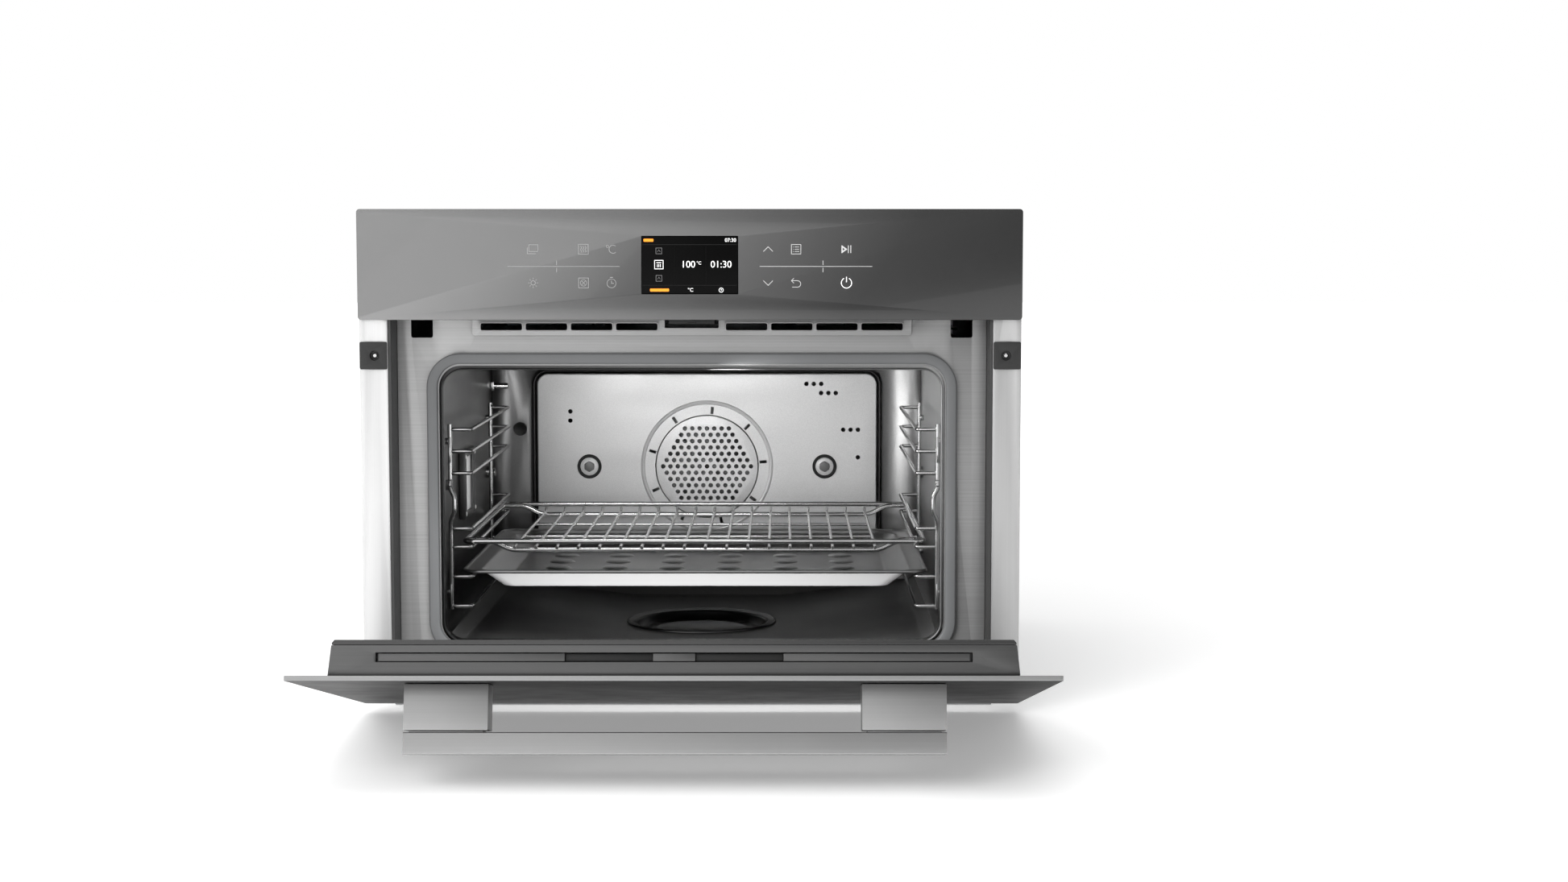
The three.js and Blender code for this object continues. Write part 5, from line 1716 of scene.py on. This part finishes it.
            ring = self.outline((x - 2.6, x + 2.6), (z - 2.6, z + 2.6))
            self.line(Ink.DIM, ring, Stroke.FINE, d, True)
            self.line(Ink.DIM, [(x - 1.2, z - 0.9), (x, z + 1.1), (x + 1.2, z - 0.9)], Stroke.FINEST, d)
        self.box(Ink.ORANGE, (-41.2, -32.4), (427.4, 430.0), d)
        self.box(Ink.ORANGE, (-35.6, -18.6), (383.0, 385.6), d)


@dataclass
class Door:
    """The door: three panes in a grey frame, its hinge arms and the flat handle."""

    vent_x: Span = (16.4, 83.6)
    vent_d: Span = (15.6, 21.2)
    vent_z: Span = (341.4, 343.4)

    def build(self) -> None:
        """Dresses the door's pieces, and lines the vent openings in its edge."""
        self.front_pane()
        refit("door_frame", Body.DOOR, DOOR_PROFILE, 0.7, 3)
        refit("door_vent_strip", Body.DOOR, DOOR_PROFILE, 0.3)
        refit("door_middle_glass", Body.DOOR, PANE_GLASS, 0.4)
        refit("door_inner_glass", Body.DOOR, DOOR_GLASS, 0.4)
        for side in ("left", "right"):
            refit(f"hinge_arm_{side}", Body.DOOR, ZINC_SHEET, 0.4)
            dressed(ZINC_SHEET, f"hinge_bracket_{side}")
            refit(f"handle_post_{side}", Body.DOOR, HANDLE_METAL, 0.5, 3)
        refit("handle_bar", Body.DOOR, HANDLE_METAL, 0.6, 3)
        self.vent_lining()

    def front_pane(self) -> None:
        """The front pane: dark in front, lighter on its ground edges."""
        pane = Bench.refined("door_outer_glass", 0.5, 3)
        for finish in (DOOR_FRONT, EDGE_GLASS):
            pane.data.materials.append(finish.material())
        out = Vector((0.0, -math.cos(DOOR_OPEN), -math.sin(DOOR_OPEN)))
        for face in pane.data.polygons:
            face.material_index = 0 if abs(face.normal.dot(out)) > 0.8 else 1
        deliver(pane, Body.DOOR, DOOR_FRONT, "door_outer_glass")

    def vent_lining(self) -> None:
        """The dark lining of the vent openings in the door's upper end."""
        made = []
        for side in Side:
            low, high = sorted(side.value * x for x in self.vent_x)
            lining = Bench.block("lining", (low, high), self.vent_d, self.vent_z)
            made.append(Bench.opened(Bench.soften(lining, 0.3)))
        deliver(Bench.joined("door_vent_lining", made), Body.DOOR, BLACK_PLASTIC)


@dataclass
class Works:
    """The heaters, fans, motors, tank and board inside the casing."""

    def build(self) -> None:
        """Dresses the inner pieces."""
        for node in ("ring_heater", "bottom_heater", "grill_heater"):
            refit(node, Body.OVEN, HEATER_TUBE, 0)
        refit("fan_wheel", Body.CONVECTION_FAN, ZINC_SHEET, 0.2, 1)
        dressed(HEATER_TUBE, "convection_motor", "blower_motor")
        dressed(WOOL, "insulation")
        dressed(ZINC_SHEET, "blower_housing", "blower_impeller")
        dressed(TANK_PLASTIC, "water_tank")
        dressed(BOARD, "power_board")


@dataclass
class Studio:
    """The pale floor, the soft lights and the camera."""

    lens: float = 52.995
    sensor: float = 36.0
    place: tuple[float, float, float] = (0.08417, -2.36219, 0.42342)
    tilt: float = 85.174
    floor_size: float = 30.0
    sky: Span = (1.0, 0.42)
    glow_reach: Span = (0.9, 2.4)
    glow: Span = (0.3, 0.75)
    side_reach: float = 0.3

    def build(self) -> None:
        """Sets the camera, the floor, the surroundings and the lamps."""
        self.camera()
        self.floor()
        self.surroundings()
        self.lamp("key light", (-1.9, -2.3, 1.7), (0.0, -0.2, 0.2), (1.6, 1.6), 26)
        self.lamp("top light", (0.1, -0.9, 2.4), (0.0, -0.1, 0.2), (2.2, 1.4), 14)
        self.lamp("front light", (-0.5, -1.7, 0.75), (0.05, 0.1, 0.2), (0.7, 0.5), 7)
        self.lamp("mouth light", (-0.06, -0.235, 0.285), (0.1, 0.12, 0.14), (0.24, 0.03), 0.4, True)
        self.lamp("low light", (-0.02, -0.42, 0.115), (0.0, 0.0, 0.11), (0.4, 0.03), 0.9)

    def camera(self) -> None:
        """The camera, level from side to side and pitched slightly down."""
        data = bpy.data.cameras.new("camera")
        data.lens, data.sensor_width = self.lens, self.sensor
        camera = bpy.data.objects.new("camera", data)
        camera.location = self.place
        camera.rotation_euler = (math.radians(self.tilt), 0, 0)
        bpy.context.scene.collection.objects.link(camera)
        bpy.context.scene.camera = camera

    def floor(self) -> None:
        """A wide plain floor under the base."""
        Bench.clear()
        bpy.ops.mesh.primitive_plane_add(size=self.floor_size, location=(0, 0, -0.0005))
        floor = Bench.settle("floor")
        sheet = Sheet("Pale floor")
        away = sheet.tree.nodes.new("ShaderNodeVectorMath")
        away.operation = "LENGTH"
        sheet.put(away.inputs[0], sheet.place)
        sheet.shade(
            Base_Color=grey(244), Roughness=0.9, Specular_IOR_Level=0.1,
            Emission_Color=grey(255),
            Emission_Strength=sheet.ranged(away.outputs["Value"], self.glow_reach, self.glow))
        floor.data.materials.append(sheet.material)
        floor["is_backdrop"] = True

    def surroundings(self) -> None:
        """A white room: seen as plain white, and lighter on the left than on the right."""
        world = bpy.data.worlds.new("room")
        bpy.context.scene.world = world
        world.use_nodes = True
        tree = world.node_tree
        background = tree.nodes["Background"]
        direction = tree.nodes.new("ShaderNodeTexCoord").outputs["Generated"]
        split = tree.nodes.new("ShaderNodeSeparateXYZ")
        tree.links.new(direction, split.inputs[0])
        ramp = tree.nodes.new("ShaderNodeMapRange")
        ramp.interpolation_type = "SMOOTHSTEP"
        tree.links.new(split.outputs["X"], ramp.inputs["Value"])
        numbers = (-self.side_reach, self.side_reach, *self.sky)
        for name, number in zip(("From Min", "From Max", "To Min", "To Max"), numbers):
            ramp.inputs[name].default_value = number
        seen = tree.nodes.new("ShaderNodeLightPath").outputs["Is Camera Ray"]
        choice = tree.nodes.new("ShaderNodeMix")
        tree.links.new(seen, choice.inputs["Factor"])
        tree.links.new(ramp.outputs["Result"], choice.inputs["A"])
        choice.inputs["B"].default_value = 1.0
        tree.links.new(choice.outputs["Result"], background.inputs["Strength"])
        background.inputs["Color"].default_value = (1, 1, 1, 1)

    def lamp(
        self, name: str, place: Point, target: Point, size: Span, power: float, seen: bool = False
    ) -> None:
        """A soft rectangular lamp.

        Args:
            name: Its name.
            place: Where it stands, in metres.
            target: The point that it faces.
            size: Its width and height, in metres.
            power: Its power, in watts.
            seen: True if bright surfaces mirror it.
        """
        data = bpy.data.lights.new(name, "AREA")
        data.shape = "RECTANGLE"
        data.size, data.size_y = size
        data.energy = power
        lamp = bpy.data.objects.new(name, data)
        lamp.location = place
        lamp.rotation_euler = (Vector(target) - Vector(place)).to_track_quat("-Z", "Y").to_euler()
        lamp.visible_camera = False
        lamp.visible_glossy = seen
        bpy.context.scene.collection.objects.link(lamp)


def corners() -> list[list[float]]:
    """The lowest and highest corner of what shows, as plain lists."""
    return [list(corner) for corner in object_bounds()]


def main() -> None:
    """Builds the oven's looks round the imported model, and the studio."""
    logging.basicConfig(level=logging.INFO, format="%(name)s: %(message)s")
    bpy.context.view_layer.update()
    bpy.context.scene.view_settings.view_transform = "Standard"
    assemblies = (
        Casing, Surround, Muffle, SideLamp, SideRack, WireShelf, BakingTray, ControlPanel, Door, Works)
    for assembly in assemblies:
        assembly().build()
        LOG.info("%s is complete", assembly.__name__)
    Studio().build()
    Bench.clear()


if __name__ == "__main__":
    main()
